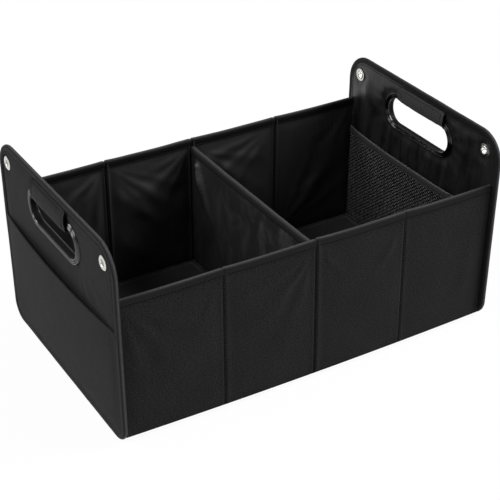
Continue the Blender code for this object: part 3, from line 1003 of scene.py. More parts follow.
@dataclass
class Organizer:
    """What every sub-assembly needs: the shared sizes and a place to put finished pieces."""

    sizes: Overall
    count: int = 0

    def add(self, name: str, shape: Shape, axes: Matrix, finish: Finish,
            replaces: Sequence[str] = ()) -> bpy.types.Object:
        """Makes a piece from a shape.

        Args:
            name: the piece's name.
            shape: its mesh in the local frame, which is freed.
            axes: the local frame.
            finish: what it is made of.
            replaces: the CAD nodes that it stands for.

        Returns:
            The piece's object.
        """
        bmesh.ops.transform(shape, matrix=axes, verts=shape.verts[:])
        shape.normal_update()
        for face in shape.faces:
            face.smooth = True
        for edge in shape.edges:
            edge.smooth = len(edge.link_faces) != 2 or edge.calc_face_angle(0.0) < SHARP_ANGLE
        mesh = bpy.data.meshes.new(name)
        shape.to_mesh(mesh)
        shape.free()
        piece = bpy.data.objects.new(name, mesh)
        bpy.context.scene.collection.objects.link(piece)
        mesh.materials.append(finish.material())
        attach(piece, BODY)
        if replaces:
            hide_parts(*replaces)
        self.count += 1
        LOG.info("piece %02d %s: %d faces of %s", self.count, name, len(mesh.polygons), finish.name)
        return piece

    def bind(self, names: Sequence[str], track: Track, tape: FoldedTape, shift: Shift, axes: Matrix,
             finish: Finish, cloths: Sequence[str], ways: Sequence[int] = (1, -1), start: float = 0.002,
             pinch: Callable[[float], float] = lambda x: 0.0) -> None:
        """Folds a tape over an edge and sews it on.

        Args:
            names: the names of the tape, of its stitches and of the tape's CAD node.
            track: the edge that it binds.
            tape: its section.
            shift: moves each station, for sag and bulge.
            axes: the local frame.
            finish: what the tape is made of.
            cloths: the pieces that it lies on; not used.
            ways: the faces that show stitches, 1 for the high face and -1 for the low one.
            start: where the rows of stitches start.
            pinch: how far each face is drawn in, at a place along the edge.
        """

        def surface(x: float, y: float) -> Vector:
            return track.beside(x, *tape.at(y)) + shift(x)

        shape = cloth(track.marks, tape.rows(), surface, self.sizes.drawn_tape)
        middle = (tape.low + tape.high) / 2
        for vertex in shape.verts:
            drawn = pinch(vertex.co.x)
            vertex.co.z += -drawn if vertex.co.z > middle else drawn
        piece = self.add(names[0], shape, axes, finish, names[2:])
        thread = bmesh.new()
        for way in ways:

            def place(distance: float, way: int = way) -> tuple[Vector, Vector]:
                outward, height = tape.at(way * tape.stitch_line)
                found = track.beside(clamp(distance, 0.0, track.length), outward, height + way * THREAD_LIFT)
                return found + shift(distance), Vector((0, 0, way))

            Stitching().row(thread, place, start, track.length)
        self.add(names[1], thread, axes, THREAD)


# End panels


@dataclass
class EndPanel:
    """One stiff end: outer cloth, lining, edge tape, handle rim and grip, eyelets and outer pocket."""

    shop: Organizer
    side: Side
    top_radius: float = 0.038
    bottom_radius: float = 0.024
    handle_length: float = 0.127
    handle_height: float = 0.037
    handle_drop: float = 0.046
    rim_flange: float = 0.0075
    rim_thick: float = 0.0014
    rim_bead: float = 0.0010
    rim_neck: float = 0.0020
    grip_half: float = 0.0475
    grip_centre: float = -0.0060
    grip_sag: float = 0.0
    eyelet_edge: float = 0.027
    eyelet_drop: float = 0.026
    eyelet_bore: float = 0.0042
    eyelet_wall: float = 0.0007
    eyelet_flange: float = 0.0086
    pocket_height: float = 0.1525
    pocket_bulge: float = 0.0075
    grid: float = 0.0026

    def __post_init__(self) -> None:
        """Works out what several methods share."""
        sizes = self.shop.sizes
        self.axes = sizes.end_axes(self.side)
        self.edge = Outline(sizes.end_width, 0.0, sizes.end_height, self.bottom_radius, self.top_radius)
        centre = sizes.end_height - self.handle_drop
        straight = self.handle_length - self.handle_height
        self.handle = Opening(0.0, centre, self.handle_height / 2, straight / 2)
        self.front = 1 if self.side is Side.LEFT else -1
        spread = sizes.end_width / 2 - self.eyelet_edge
        height = sizes.end_height - self.eyelet_drop
        self.eyelets = {"front": Vector((self.front * spread, height)),
                        "back": Vector((-self.front * spread, height))}

    def build(self) -> None:
        """Builds every piece of the panel."""
        self.panel_cloth()
        self.binding()
        self.handle_rim()
        self.grip()
        self.metal_eyelets()
        self.outer_pocket()

    def holes(self) -> list[Opening]:
        """The holes in the panel's cloth: the handle's and the eyelets'."""
        found = [self.handle.grown(self.rim_neck + 0.0022)]
        found += [Opening(place.x, place.y, self.eyelet_bore + self.eyelet_wall + 0.0016)
                  for place in self.eyelets.values()]
        return found

    def folds(self, inner: bool) -> list[Fold]:
        """The folds of the outer cloth, or of the lining, which is looser."""
        end = self.handle.reach_x + self.handle.radius + self.rim_flange
        front, back = self.front, -self.front
        if not inner:
            towards = -60 if front > 0 else -120
            return [Ripple(0.0004, 0.05, 0.08, self.side.value),
                    PullFan(front * end, self.handle.y - 0.012, towards, 55, 0.03, 0.0006, 3),
                    Ridge((back * 0.10, 0.235), (back * 0.135, 0.17), 0.012, 0.0006)]
        folds: list[Fold] = [Ripple(0.0011, 0.012, 0.13, 3.0), Ripple(0.0008, 0.03, 0.05, 5.0)]
        upright = ((-0.124, 0.0022), (-0.094, 0.0018), (-0.062, 0.0016), (-0.026, 0.0022), (0.012, 0.0014),
                   (0.044, 0.0024), (0.080, 0.0018), (0.112, 0.0026))
        for k, (x, height) in enumerate(upright):
            top = (0.232 if abs(x) > 0.085 else 0.188) - 0.005 * (k % 3)
            folds.append(Ridge((x, top), (x + 0.008 * (k % 2) - 0.004, 0.02), 0.0065, height))
        for way, height in ((front, 0.0007), (back, 0.0004)):
            towards = -20 if way > 0 else 200
            folds.append(PullFan(way * (end - 0.026), self.handle.y, towards, 100, 0.030, height, 9))
        folds.append(Ridge((back * 0.122, 0.222), (back * 0.088, 0.196), 0.009, 0.0015))
        return folds

    def pinned(self, x: float, y: float, inset: float) -> float:
        """1 where the cloth is free, 0 where the tape, the rim or an eyelet holds it down."""
        held = [self.handle.distance(x, y) - self.rim_flange]
        held += [math.dist((x, y), place) - self.eyelet_flange for place in self.eyelets.values()]
        reach = self.edge.reach(y) - abs(x) - inset
        held += [reach, y - inset, self.edge.top - inset - y]
        return eased(min(held) / 0.012)

    def panel_cloth(self) -> None:
        """The outer cloth and the lining, each over its side of the board."""
        sizes = self.shop.sizes
        label = self.side.label
        cut = self.edge.inset(sizes.edge_tape + 0.004)
        columns = stations([-cut.width / 2, cut.width / 2], self.grid)
        rows = stations([cut.bottom, cut.top], self.grid)
        inset = sizes.edge_tape + sizes.lip
        outer, inner = self.folds(False), self.folds(True)

        def cover(x: float, y: float) -> Vector:
            free = self.pinned(x, y, inset)
            return Vector((x, y, sizes.end_face + (0.0003 + raised(outer, x, y)) * free))

        def lining(x: float, y: float) -> Vector:
            free = self.pinned(x, y, inset)
            return Vector((x, y, sizes.lining - (0.0002 + raised(inner, x, y)) * free))

        # The rounded corners and the holes take about 6 % of the rectangle.
        for name, node, surface, thickness, finish in (
                ("outer_cloth", "end_cover", cover, sizes.cover, OXFORD),
                ("lining_cloth", "end_lining", lining, sizes.drawn_lining, SHADED_END_LINING)):
            shape = cloth(columns, rows, surface, thickness, self.holes(), cut.fit)
            piece = self.shop.add(f"{name}_{label}", shape, self.axes, finish, [f"{node}_{label}"])

    def binding(self) -> None:
        """The tape folded over the panel's edge, and its two rows of stitches."""
        sizes, label = self.shop.sizes, self.side.label
        tape = FoldedTape(0.0, sizes.end_depth, sizes.edge_tape, sizes.lip)
        track = self.edge.inset(sizes.edge_tape).track()

        def shift(x: float) -> Vector:
            waver = noise.noise(Vector((x * 22, self.side.value * 3.1, 0)))
            _, outward = track.at(x)
            return (outward * waver * 0.0003).to_3d() + Vector((0, 0, waver * 0.0002))

        names = (f"edge_tape_{label}", f"edge_stitches_{label}", f"end_binding_{label}")
        self.shop.bind(names, track, tape, shift, self.axes, TAPE,
                       [f"outer_cloth_{label}", f"lining_cloth_{label}"], start=0.0)

    def rim_section(self, face: float, out: int, end: float) -> list[tuple[float, float]]:
        """Half of the rim's section: a rolled lip, a groove, a ridge, a flange edge, and the neck.

        Args:
            face: the height of the cloth that the flange lies on.
            out: 1 for the half outside the organizer, -1 for the one inside.
            end: the height where the neck ends.

        Returns:
            The section's corners as (outward distance, height).
        """
        seat = self.shop.sizes.seat
        flange = self.rim_thick + seat
        rolls = [(0.0, 0.0), (0.0, flange - 0.0002)]
        # Three beads, each half a circle across, with a narrow groove between them.
        beads = ((0.0012, 0.0011, self.rim_bead), (0.0038, 0.0010, 0.0008), (0.0061, 0.0009, 0.0004))
        for middle, half, top in beads:
            rolls += [(middle + half * math.sin(turn), flange - 0.0005 + (top + 0.0005) * math.cos(turn))
                      for turn in (math.radians(d) for d in (-80, -50, -20, 20, 50, 80))]
            rolls.append((middle + half + 0.0002, flange - 0.0008))
        rolls += [(self.rim_flange - 0.0001, seat + 0.0004), (self.rim_flange, seat), (0.0060, seat),
                  (self.rim_neck, seat)]
        section = [(distance, face + out * height) for distance, height in rolls]
        section[0] = (0.0, end)
        return [*section, (self.rim_neck, end)]

    def handle_rim(self) -> None:
        """The two snap-in halves of the handle's plastic rim."""
        sizes, label = self.shop.sizes, self.side.label
        middle = (sizes.lining + sizes.end_face) / 2
        track = self.handle.track()
        for half, face, out in (("outer", sizes.end_face, 1), ("inner", 0.0, -1)):
            shape = closed_sweep(track, self.rim_section(face, out, middle + out * sizes.seat / 2))
            self.shop.add(f"rim_{half}_{label}", shape, self.axes, MOULDING, [f"handle_rim_{half}_{label}"])

    def grip_section(self) -> Track:
        """The path that the grip cloth takes round the bar over the opening, as (height out, height up)."""
        sizes = self.shop.sizes
        clear = sizes.seat * 2 + self.rim_thick + self.rim_bead
        top = sizes.end_height - sizes.edge_tape - sizes.lip + 0.0015
        shoulder = self.handle.y + self.handle.radius + self.rim_flange
        bottom = self.handle.y + self.handle.radius - sizes.seat - self.grip_sag
        out, inner = sizes.end_face + clear + sizes.cover, -clear - sizes.cover
        radius = min((out - inner) / 2, 0.0045)
        points = [Vector((sizes.end_face + sizes.seat + sizes.cover, top)),
                  Vector((sizes.end_face + clear * 0.75 + sizes.cover, (top + shoulder) / 2 + 0.001)),
                  Vector((out, shoulder)), Vector((out + 0.0004, (shoulder + bottom) / 2))]
        points += arc(Vector((out - radius, bottom - sizes.cover + radius)), radius, 0, -90, 5)
        points += arc(Vector((inner + radius, bottom - sizes.cover + radius)), radius, -90, -180, 5)
        points += [Vector((inner - 0.0004, (shoulder + bottom) / 2)), Vector((inner, shoulder)),
                   Vector((-clear * 0.75 - sizes.cover, (top + shoulder) / 2 + 0.001)),
                   Vector((-sizes.seat - sizes.cover, top))]
        return Track(points, step=0.0022)

    def grip(self) -> None:
        """The cloth grip over the bar, with rows of stitches at its ends and along its top, and a painted
        shadow line at each end.
        """
        sizes, label = self.shop.sizes, self.side.label
        path = self.grip_section()
        span = self.handle.reach_x
        folds = [Ripple(0.0007, 0.020, 0.012, 9.0 + self.side.value), Ripple(0.0005, 0.007, 0.03, 2.0)]

        def surface(x: float, y: float) -> Vector:
            point, outward = path.at(y)
            # Past the straight part of the opening the bar is lower, and the cloth follows it.
            past = max(abs(x + self.grip_centre) - span, 0.0)
            drop = self.handle.radius - math.sqrt(max(self.handle.radius**2 - past**2, 0.0))
            low = clamp((self.handle.y + self.handle.radius + self.rim_flange - point.y) / self.rim_flange)
            from_end = clamp(path.length / 2 - abs(y - path.length / 2), 0, 0.01)
            free = eased((self.grip_half - abs(x)) / 0.008) * from_end / 0.01
            puff = (0.0003 + 0.0006 * dome(x, self.grip_half) + raised(folds, x, y)) * free
            lifted = 0.0016 * clamp((abs(x) - self.grip_half + 0.007) / 0.007) ** 2
            way = 1 if point.x > sizes.end_face / 2 else -1
            flat = point - outward * puff
            return Vector((x + self.grip_centre, flat.y - drop * low,
                           flat.x + way * lifted * clamp(1.2 - low)))

        columns = stations([self.grip_half, -self.grip_half], 0.0024)
        shape = cloth(columns, path.marks, surface, sizes.cover)
        bmesh.ops.recalc_face_normals(shape, faces=shape.faces[:])
        piece = self.shop.add(f"grip_cloth_{label}", shape, self.axes, GRIP_CLOTHS[self.side],
                              [f"handle_wrap_{label}"])
        thread = Stitching(length=0.0022, space=0.0014)
        face = (path.length - 0.014) / 2
        margin = 0.0005
        shape = bmesh.new()

        def seam(x: float, y: float) -> tuple[Vector, Vector]:
            point = surface(x, y)
            return sewn(point, 1 if point.z > sizes.end_face / 2 else -1)

        for x in (-self.grip_half + 0.0060, self.grip_half - 0.0060):
            for start, end in ((margin, face), (path.length - face, path.length - margin)):
                thread.row(shape, lambda y, x=x: seam(x, y), start, end)
        for y in (0.0035, path.length - 0.0035):
            thread.row(shape, lambda x, y=y: seam(x - self.grip_half, y), 0.008, 2 * self.grip_half - 0.008)
        # Painted shadow: at each raw end, thread laid so close that it reads as one dark line stands in for
        # the shadow in the gap under the lifted end.
        painted_shadow_line = Stitching(length=0.0050, space=-0.0012, width=0.0017, height=0.0012)
        shoulder = self.handle.y + self.handle.radius + self.rim_flange * 0.7
        for x in (self.grip_centre - self.grip_half - 0.0004, self.grip_centre + self.grip_half + 0.0004):
            for level, way in ((sizes.end_face, 1), (0.0, -1)):
                foot = Vector((x, shoulder, level))
                painted_shadow_line.row(shape, lambda y, foot=foot, way=way: sewn(foot + Vector((0, y, 0)), way, 0.0006),
                             0.0, 0.0128)
        self.shop.add(f"grip_stitches_{label}", shape, self.axes, THREAD)

    def metal_eyelets(self) -> None:
        """A rolled eyelet outside and its washer inside, in each top corner."""
        sizes, label = self.shop.sizes, self.side.label
        seat = sizes.end_face + sizes.seat
        bore, wall, flange = self.eyelet_bore, self.eyelet_wall, self.eyelet_flange
        outside = bore + wall
        low = -sizes.seat - wall
        roll = low - sizes.seat
        barrel = [(flange, seat), (flange + 0.0001, seat + 0.0004), (flange - 0.0005, seat + 0.0009),
                  (flange - 0.0014, seat + 0.0013), (flange - 0.0026, seat + 0.0014),
                  (outside, seat + 0.0012), (bore + 0.0002, seat + 0.0007), (bore, seat), (bore, 0.0),
                  (bore, roll - wall * 0.2),
                  (bore + 0.0003, roll - wall * 0.8), (outside + 0.0002, roll - wall),
                  (outside + 0.0010, roll - wall * 0.8), (outside + 0.0014, roll - wall * 0.2),
                  (outside + 0.0012, roll), (outside, roll), (outside, seat)]
        washer = [(flange, -sizes.seat), (flange - 0.0002, low), (flange - 0.0012, low - 0.0003),
                  (flange - 0.0024, low - 0.0002), (outside + sizes.seat, low),
                  (outside + sizes.seat, -sizes.seat)]
        for corner, centre in self.eyelets.items():
            for name, node, profile in (("eyelet", "eyelet", barrel), ("washer", "eyelet_washer", washer)):
                self.shop.add(f"{name}_ring_{label}_{corner}", turned_ring(profile, centre), self.axes,
                              NICKEL, [f"{node}_{label}_{corner}"])

    def outer_pocket(self) -> None:
        """The open pocket outside: held at its sides and foot, with a hem folded in at its mouth."""
        sizes, label = self.shop.sizes, self.side.label
        inset = sizes.edge_tape + 0.0045
        tucked = sizes.edge_tape + sizes.lip
        cut = self.edge.inset(inset)
        hem, roll = 0.010, 0.0011
        low = sizes.end_face + sizes.seat + sizes.cover
        mouth = self.pocket_height
        folds = [Ripple(0.0006, 0.04, 0.06, 7.0 * self.side.value), Ripple(0.0003, 0.014, 0.02, 4.0),
                 Ridge((0.02, 0.11), (-0.09, 0.02), 0.02, 0.0010)]

        def swell(x: float, y: float) -> float:
            reach = cut.reach(y) - (tucked - inset)
            across = dome(x, reach) ** 0.8 if abs(x) < reach else 0.0
            up = math.sin(clamp((y - tucked) / (mouth - tucked)) * math.pi / 2) ** 1.2
            free = eased(min(reach - abs(x), y - tucked) / 0.015)
            held = -sizes.cover * 0.4 * (1 - free)
            return held + self.pocket_bulge * across * up + raised(folds, x, y) * free

        def surface(x: float, y: float) -> Vector:
            if y <= mouth:
                return Vector((x, y, low + swell(x, y)))
            rise = swell(x, mouth)
            bend = roll * clamp(rise / (3 * roll))
            turn = (y - mouth) / roll
            if turn < math.pi:
                return Vector((x, mouth + roll * math.sin(turn), low + rise - bend * (1 - math.cos(turn))))
            down = y - mouth - math.pi * roll
            return Vector((x, mouth - down, low + swell(x, mouth - down) - 2 * bend))

        columns = stations([-cut.width / 2, cut.width / 2], 0.004)
        rows = stations([cut.bottom, mouth - 0.004], 0.004) + stations([mouth - 0.002, mouth], 0.001)
        rows += [mouth + math.pi * roll * k / 5 for k in range(1, 6)]
        rows += stations([rows[-1] + 0.0025, rows[-1] + hem], 0.004)
        shape = cloth(columns, rows, surface, sizes.cover * 0.7,
                      fit=lambda x, y: cut.fit(x, y) if y <= mouth else (x, y))
        piece = self.shop.add(f"pocket_cloth_{label}", shape, self.axes, OXFORD, [f"outer_pocket_{label}"])


# The net pocket


@dataclass
class NetPocket:
    """The net pocket inside the right end panel: a diamond net with a tape along its top."""

    shop: Organizer
    height: float = 0.1505
    bulge: float = 0.0065
    strand: float = 0.0010
    spare: float = 0.012
    skew: float = math.radians(-3)

    def __post_init__(self) -> None:
        """Works out what several methods share."""
        sizes = self.shop.sizes
        self.axes = sizes.end_axes(Side.RIGHT)
        self.half = sizes.inner_width / 2 - 0.0014
        self.foot = sizes.wall_foot + sizes.seat - sizes.panel_rise
        self.folds = [Ripple(0.0016, 0.05, 0.09, 1.0)]

    def depth(self, x: float, y: float) -> float:
        """How far the net stands in from the lining."""
        up = math.sin(clamp((y - self.foot) / (self.height - self.foot)) * math.pi / 2)
        edge = eased((self.half - abs(x)) / 0.02)
        return self.bulge * dome(x, self.half) ** 0.8 * up + raised(self.folds, x, y) * edge * up

    def build(self) -> None:
        """Builds the net, its tape and the tape's stitches."""
        sizes = self.shop.sizes
        top = self.height - sizes.tape - sizes.seat
        base = sizes.seat + sizes.tape + sizes.seat + 0.0010
        shape = bmesh.new()
        wide, tall = NET_YARN.cell
        # The net is cut a little askew: it is laid out larger, turned, and trimmed to size.
        across = round((2 * self.half + self.spare) / wide)
        up = round((top - self.foot + 2 * self.spare) / tall)
        knots = Vector((wide * across, tall * up))
        bmesh.ops.create_grid(shape, x_segments=across, y_segments=up, size=0.5)
        straight = [edge for edge in shape.edges if not edge.is_boundary]
        bmesh.ops.poke(shape, faces=shape.faces[:])
        bmesh.ops.dissolve_edges(shape, edges=straight, use_verts=False)
        for vertex in shape.verts:
            vertex.co.xy = (vertex.co.xy + Vector((0.5, 0.5))) * knots
        lay_flat_map(shape)
        bmesh.ops.translate(shape, verts=shape.verts[:], vec=-knots.to_3d() / 2)
        bmesh.ops.rotate(shape, verts=shape.verts[:], matrix=Matrix.Rotation(self.skew, 3, "Z"))
        middle = Vector((self.half, (top - self.foot) / 2))
        for axis in (0, 1):
            for way in (1, -1):
                outward = Vector((0, 0, 0))
                outward[axis] = way
                bmesh.ops.bisect_plane(shape, geom=[*shape.verts, *shape.edges, *shape.faces], dist=1e-6,
                                       plane_co=outward * middle[axis], plane_no=outward, clear_outer=True)
        bmesh.ops.remove_doubles(shape, verts=shape.verts[:], dist=0.0004)
        for vertex in shape.verts:
            x, y = vertex.co.x, vertex.co.y + (top + self.foot) / 2
            vertex.co = (x, y, -base - self.depth(x, y))
        cells = [face for face in shape.faces if face.calc_area() > wide * tall / 8]
        bmesh.ops.inset_individual(shape, faces=cells, thickness=self.strand * 0.7, use_even_offset=False)
        bmesh.ops.delete(shape, geom=cells, context="FACES")
        bmesh.ops.solidify(shape, geom=shape.faces[:], thickness=0.0007)
        area = sum(face.calc_area() for face in shape.faces) / 2
        piece = self.shop.add("net", shape, self.axes, NET_YARN, ["mesh_pocket"])

        high = self.height - sizes.edge_tape
        track = Track([Vector((self.half, high)), Vector((-self.half, high))], step=0.005)
        tape = FoldedTape(-0.0040, -sizes.seat, sizes.edge_tape, sizes.lip, round_depth=0.0018)

        def shift(x: float) -> Vector:
            place = self.half - x
            return Vector((0, -0.0006 * dome(place, self.half), -self.depth(place, self.height)))

        self.shop.bind(("net_tape", "net_tape_stitches", "mesh_pocket_tape"), track, tape, shift, self.axes,
                       NET_TAPE, ["net"], ways=(-1,), start=0.003)


# Long walls


@dataclass
class LongWall:
    """A creased long wall: outer cloth and lining over four boards, with a tape along its top."""

    shop: Organizer
    name: str
    facing: int
    crease_half: float = 0.0036
    cover_bulge: float = 0.0018
    lining_bulge: float = 0.0012
    top_sag: float = 0.0008
    grid: float = 0.0030
    crease_drift: tuple[float, ...] = (0.0, 0.0, 0.0)
    tape_steps: tuple[float, ...] = (0.0, 0.0, 0.0)
    crease_shares: tuple[float, ...] = (1.0, 1.0, 1.0)
    cover_folds: tuple[Fold, ...] = ()
    lining_folds: tuple[Fold, ...] = ()

    def __post_init__(self) -> None:
        """Works out what several methods share."""
        sizes = self.shop.sizes
        self.axes = sizes.wall_axes(self.facing)
        self.crease_depth = (sizes.board + sizes.seat) / 2
        half = sizes.length / 2 - sizes.seat
        places = [-self.facing * (place + drift) for place, drift in zip(sizes.creases, self.crease_drift)]
        self.steps = dict(zip(places, self.tape_steps))
        self.shares = dict(zip(places, self.crease_shares))
        self.creases = sorted(places)
        self.boards = [-half, *self.creases, half]
        stops = [-half]
        near = (0.0005, 0.0010, 0.0016, 0.0022, 0.0029, self.crease_half, 0.0043, 0.0050, 0.0070, 0.0095,
                0.0125)
        for crease in self.creases:
            stops += [crease - step for step in reversed(near)] + [crease] + [crease + step for step in near]
        self.columns = stations([*stops, half], self.grid)
        self.half = half

    def world_x(self, x: float) -> float:
        """The place along the organizer of a place along the wall."""
        return -self.facing * x

    def along(self, x: float) -> float:
        """How far x lies along its own board, 0 at one crease and 1 at the next."""
        k = sum(x > place for place in self.creases)
        return clamp((x - self.boards[k]) / (self.boards[k + 1] - self.boards[k]))

    def crease(self, x: float, half: float = 0.0011) -> float:
        """1 on a sharp crease and less on a soft one, falling off steeply to its sides."""
        nearest = min(self.creases, key=lambda crease: abs(x - crease))
        return self.shares[nearest] * math.exp(-(((x - nearest) / half) ** 2))

    def shoulder(self, x: float, fade: float) -> float:
        """1 where the cloth rolls over a board's edge beside a crease, more on the right, 0 away from it."""
        place = min(self.creases, key=lambda crease: abs(x - crease))
        right = self.shares[place] * (1.0 if self.world_x(x - place) > 0 else 0.55)
        distance = abs(x - place)
        return right * math.exp(-(((distance - 0.0030) / (0.0010 if distance < 0.0030 else fade)) ** 2))

    def stacked(self, x: float) -> float:
        """How far the tape's top stands up just right of a crease, where its layers bunch."""
        found = 0.0
        for place, step in self.steps.items():
            gap = self.world_x(x - place)
            if gap > 0:
                found += step * eased(gap / 0.0022) * math.exp(-gap / 0.0080)
        return found

    def top(self, x: float) -> float:
        """The height of the wall's top edge."""
        return self.shop.sizes.wall_height - self.top_sag * arch(self.along(x))

    def stretched(self, x: float, y: float) -> float:
        """Moves a place near the wall's end out to the leaning end panel."""
        sizes = self.shop.sizes
        gain = max(y - sizes.panel_rise, 0.0) * math.tan(sizes.lean)
        return x + math.copysign(gain * clamp((abs(x) - 0.2) / (self.half - 0.2)), x)

    def free(self, x: float, y: float) -> float:
        """0 where a seam or the tape holds the cloth, 1 away from them."""
        sizes = self.shop.sizes
        nearest = min(abs(x - place) for place in self.creases)
        gaps = (nearest - self.crease_half, sizes.length / 2 - abs(x), self.top(x) - sizes.lip - y,
                y - sizes.wall_foot)
        return eased(min(gaps) / 0.014)

    def build(self) -> None:
        """Builds the cloths, the tape and the stitches."""
        self.covers()
        self.top_tape()

    def covers(self) -> None:
        """The outer cloth and the lining, swollen over each board and drawn in at each crease."""
        sizes = self.shop.sizes
        foot = sizes.wall_foot
        high = sizes.wall_height - sizes.edge_tape - 0.002
        rows = stations([foot, foot + 0.006, high - 0.012, high], self.grid)
        inside = -sizes.wall_depth + sizes.lining

        def swell(x: float, y: float) -> float:
            up = arch((y - foot) / (sizes.wall_height - sizes.lip - foot))
            return arch(self.along(x)) ** 0.7 * max(up, 0.0) ** 0.7

        def outer(x: float, y: float) -> Vector:
            sag = self.top_sag * arch(self.along(x)) * clamp((y - foot) / (high - foot))
            bow = sizes.bow(x) * clamp(1.15 - (y - foot) / (high - foot)) if self.facing < 0 else 0.0
            out = self.cover_bulge * swell(x, y) + 0.0012 * self.shoulder(x, 0.0034)
            out += raised(self.cover_folds, self.world_x(x), y) * self.free(x, y)
            return Vector((self.stretched(x, y), y - sag, out + bow - self.crease_depth * self.crease(x)))

        def inner(x: float, y: float) -> Vector:
            sag = self.top_sag * arch(self.along(x)) * clamp((y - foot) / (high - foot))
            out = self.lining_bulge * swell(x, y) + 0.0020 * self.shoulder(x, 0.0015)
            out += raised(self.lining_folds, self.world_x(x), y) * self.free(x, y)
            tucked = self.crease_depth * self.crease(x, 0.0017)
            return Vector((self.stretched(x, y), y - sag, inside - out + tucked))

        for name, node, surface, thickness, finish in (
                ("outer_cloth", "cover", outer, sizes.cover, OXFORD),
                ("lining_cloth", "lining", inner, sizes.drawn_lining, LINING)):
            shape = cloth(self.columns, rows, surface, thickness)
            piece = self.shop.add(f"{self.name}_{name}", shape, self.axes, finish, [f"{self.name}_{node}"])
        shape = bmesh.new()
        for face, way in ((outer, 1), (inner, -1)):
            for crease in self.creases:
                Stitching(width=0.0009).row(
                    shape, lambda y, x=crease, face=face, way=way: sewn(face(x, foot + y), way),
                    0.002, high - foot - 0.006)
        self.shop.add(f"{self.name}_crease_stitches", shape, self.axes, THREAD)

    def top_tape(self) -> None:
        """The tape folded over the top edge, pinched and notched at each crease, and its stitches."""
        sizes = self.shop.sizes
        edge = sizes.wall_height - sizes.edge_tape
        stops = sorted(self.columns, reverse=True)
        track = Track([Vector((x, edge)) for x in stops], step=0.01)
        tape = FoldedTape(-sizes.wall_depth - sizes.seat - sizes.tape, sizes.seat + sizes.tape,
                          sizes.edge_tape, sizes.lip, round_depth=0.0022)

        def shift(distance: float) -> Vector:
            x = stops[0] - distance
            dip = self.top_sag * arch(self.along(x)) + 0.0007 * self.crease(x)
            waver = noise.noise(Vector((x * 30, self.facing, 0))) * 0.0003
            bow = sizes.bow(x) * 0.15 if self.facing < 0 else 0.0
            gain = self.stretched(x, edge) - x
            return Vector((gain, waver - dip + self.stacked(x), bow))

        def pinch(x: float) -> float:
            return self.crease(x) * (self.crease_depth * 0.7)

        names = (f"{self.name}_edge_tape", f"{self.name}_edge_stitches", f"{self.name}_tape")
        self.shop.bind(names, track, tape, shift, self.axes, TAPE,
                       [f"{self.name}_outer_cloth", f"{self.name}_lining_cloth"], pinch=pinch)


FRONT_COVER_FOLDS: tuple[Fold, ...] = (
    Ripple(0.0004, 0.035, 0.06, 1.0),
    Ripple(0.0002, 0.012, 0.016, 2.0),
    PullFan(-0.25, 0.183, -55, 38, 0.05, 0.002, 3.0),
    PullFan(-0.004, 0.179, -135, 40, 0.045, 0.0018, 3.0),
    PullFan(0.0, 0.178, -50, 30, 0.022, 0.0014, 2.0),
    PullFan(0.123, 0.179, -125, 30, 0.03, 0.001, 2.0),
    PullFan(-0.13, 0.179, -115, 28, 0.03, 0.0008, 2.0),
    Ridge((0.118, 0.03), (0.124, 0.15), 0.01, 0.0008),
    Ridge((0.218, 0.05), (0.236, 0.15), 0.012, 0.0008),
)
BACK_COVER_FOLDS: tuple[Fold, ...] = (
    Ripple(0.0004, 0.035, 0.06, 8.0),
    Ripple(0.0002, 0.012, 0.016, 9.0),
    PullFan(0.25, 0.183, -125, 38, 0.05, 0.0014, 2.0),
    PullFan(-0.122, 0.18, -60, 35, 0.04, 0.0011, 2.0),
    PullFan(-0.25, 0.015, 50, 35, 0.045, 0.001, 2.0),
)
FRONT_LINING_FOLDS: tuple[Fold, ...] = (
    Ripple(0.0009, 0.022, 0.1, 11.0),
    PullFan(-0.122, 0.18, -60, 40, 0.045, 0.0014, 2.5),
    PullFan(0.122, 0.18, -120, 40, 0.045, 0.0014, 2.5),
    PullFan(0.01, 0.015, 50, 45, 0.05, 0.0014, 2.5),
)
BACK_LINING_FOLDS: tuple[Fold, ...] = (
    Ripple(0.001, 0.028, 0.09, 12.0),
    PullFan(-0.129, 0.183, -122, 40, 0.05, 0.0032, 3.5),
    Ridge((-0.135, 0.172), (-0.185, 0.09), 0.008, 0.0026),
    PullFan(-0.005, 0.179, -142, 34, 0.03, 0.0018, 3.0),
    PullFan(-0.123, 0.182, -40, 22, 0.095, 0.0018, 2.5),
    Ridge((-0.118, 0.145), (-0.02, 0.055), 0.008, 0.0018),
    Ridge((-0.118, 0.15), (-0.02, 0.085), 0.026, 0.003),
    Ridge((-0.115, 0.075), (-0.055, 0.03), 0.016, 0.0026),
    PullFan(0.006, 0.172, -40, 34, 0.06, 0.0016, 3.0),
    PullFan(0.12, 0.179, -148, 34, 0.095, 0.0022, 3.5),
    Ridge((0.115, 0.165), (0.05, 0.115), 0.01, 0.002),
    PullFan(0.134, 0.015, 46, 30, 0.07, 0.003, 2.5),
    PullFan(0.248, 0.178, -128, 32, 0.055, 0.0014, 2.0),
    Ridge((0.145, 0.025), (0.235, 0.145), 0.011, 0.0018),
)


# Divider and base


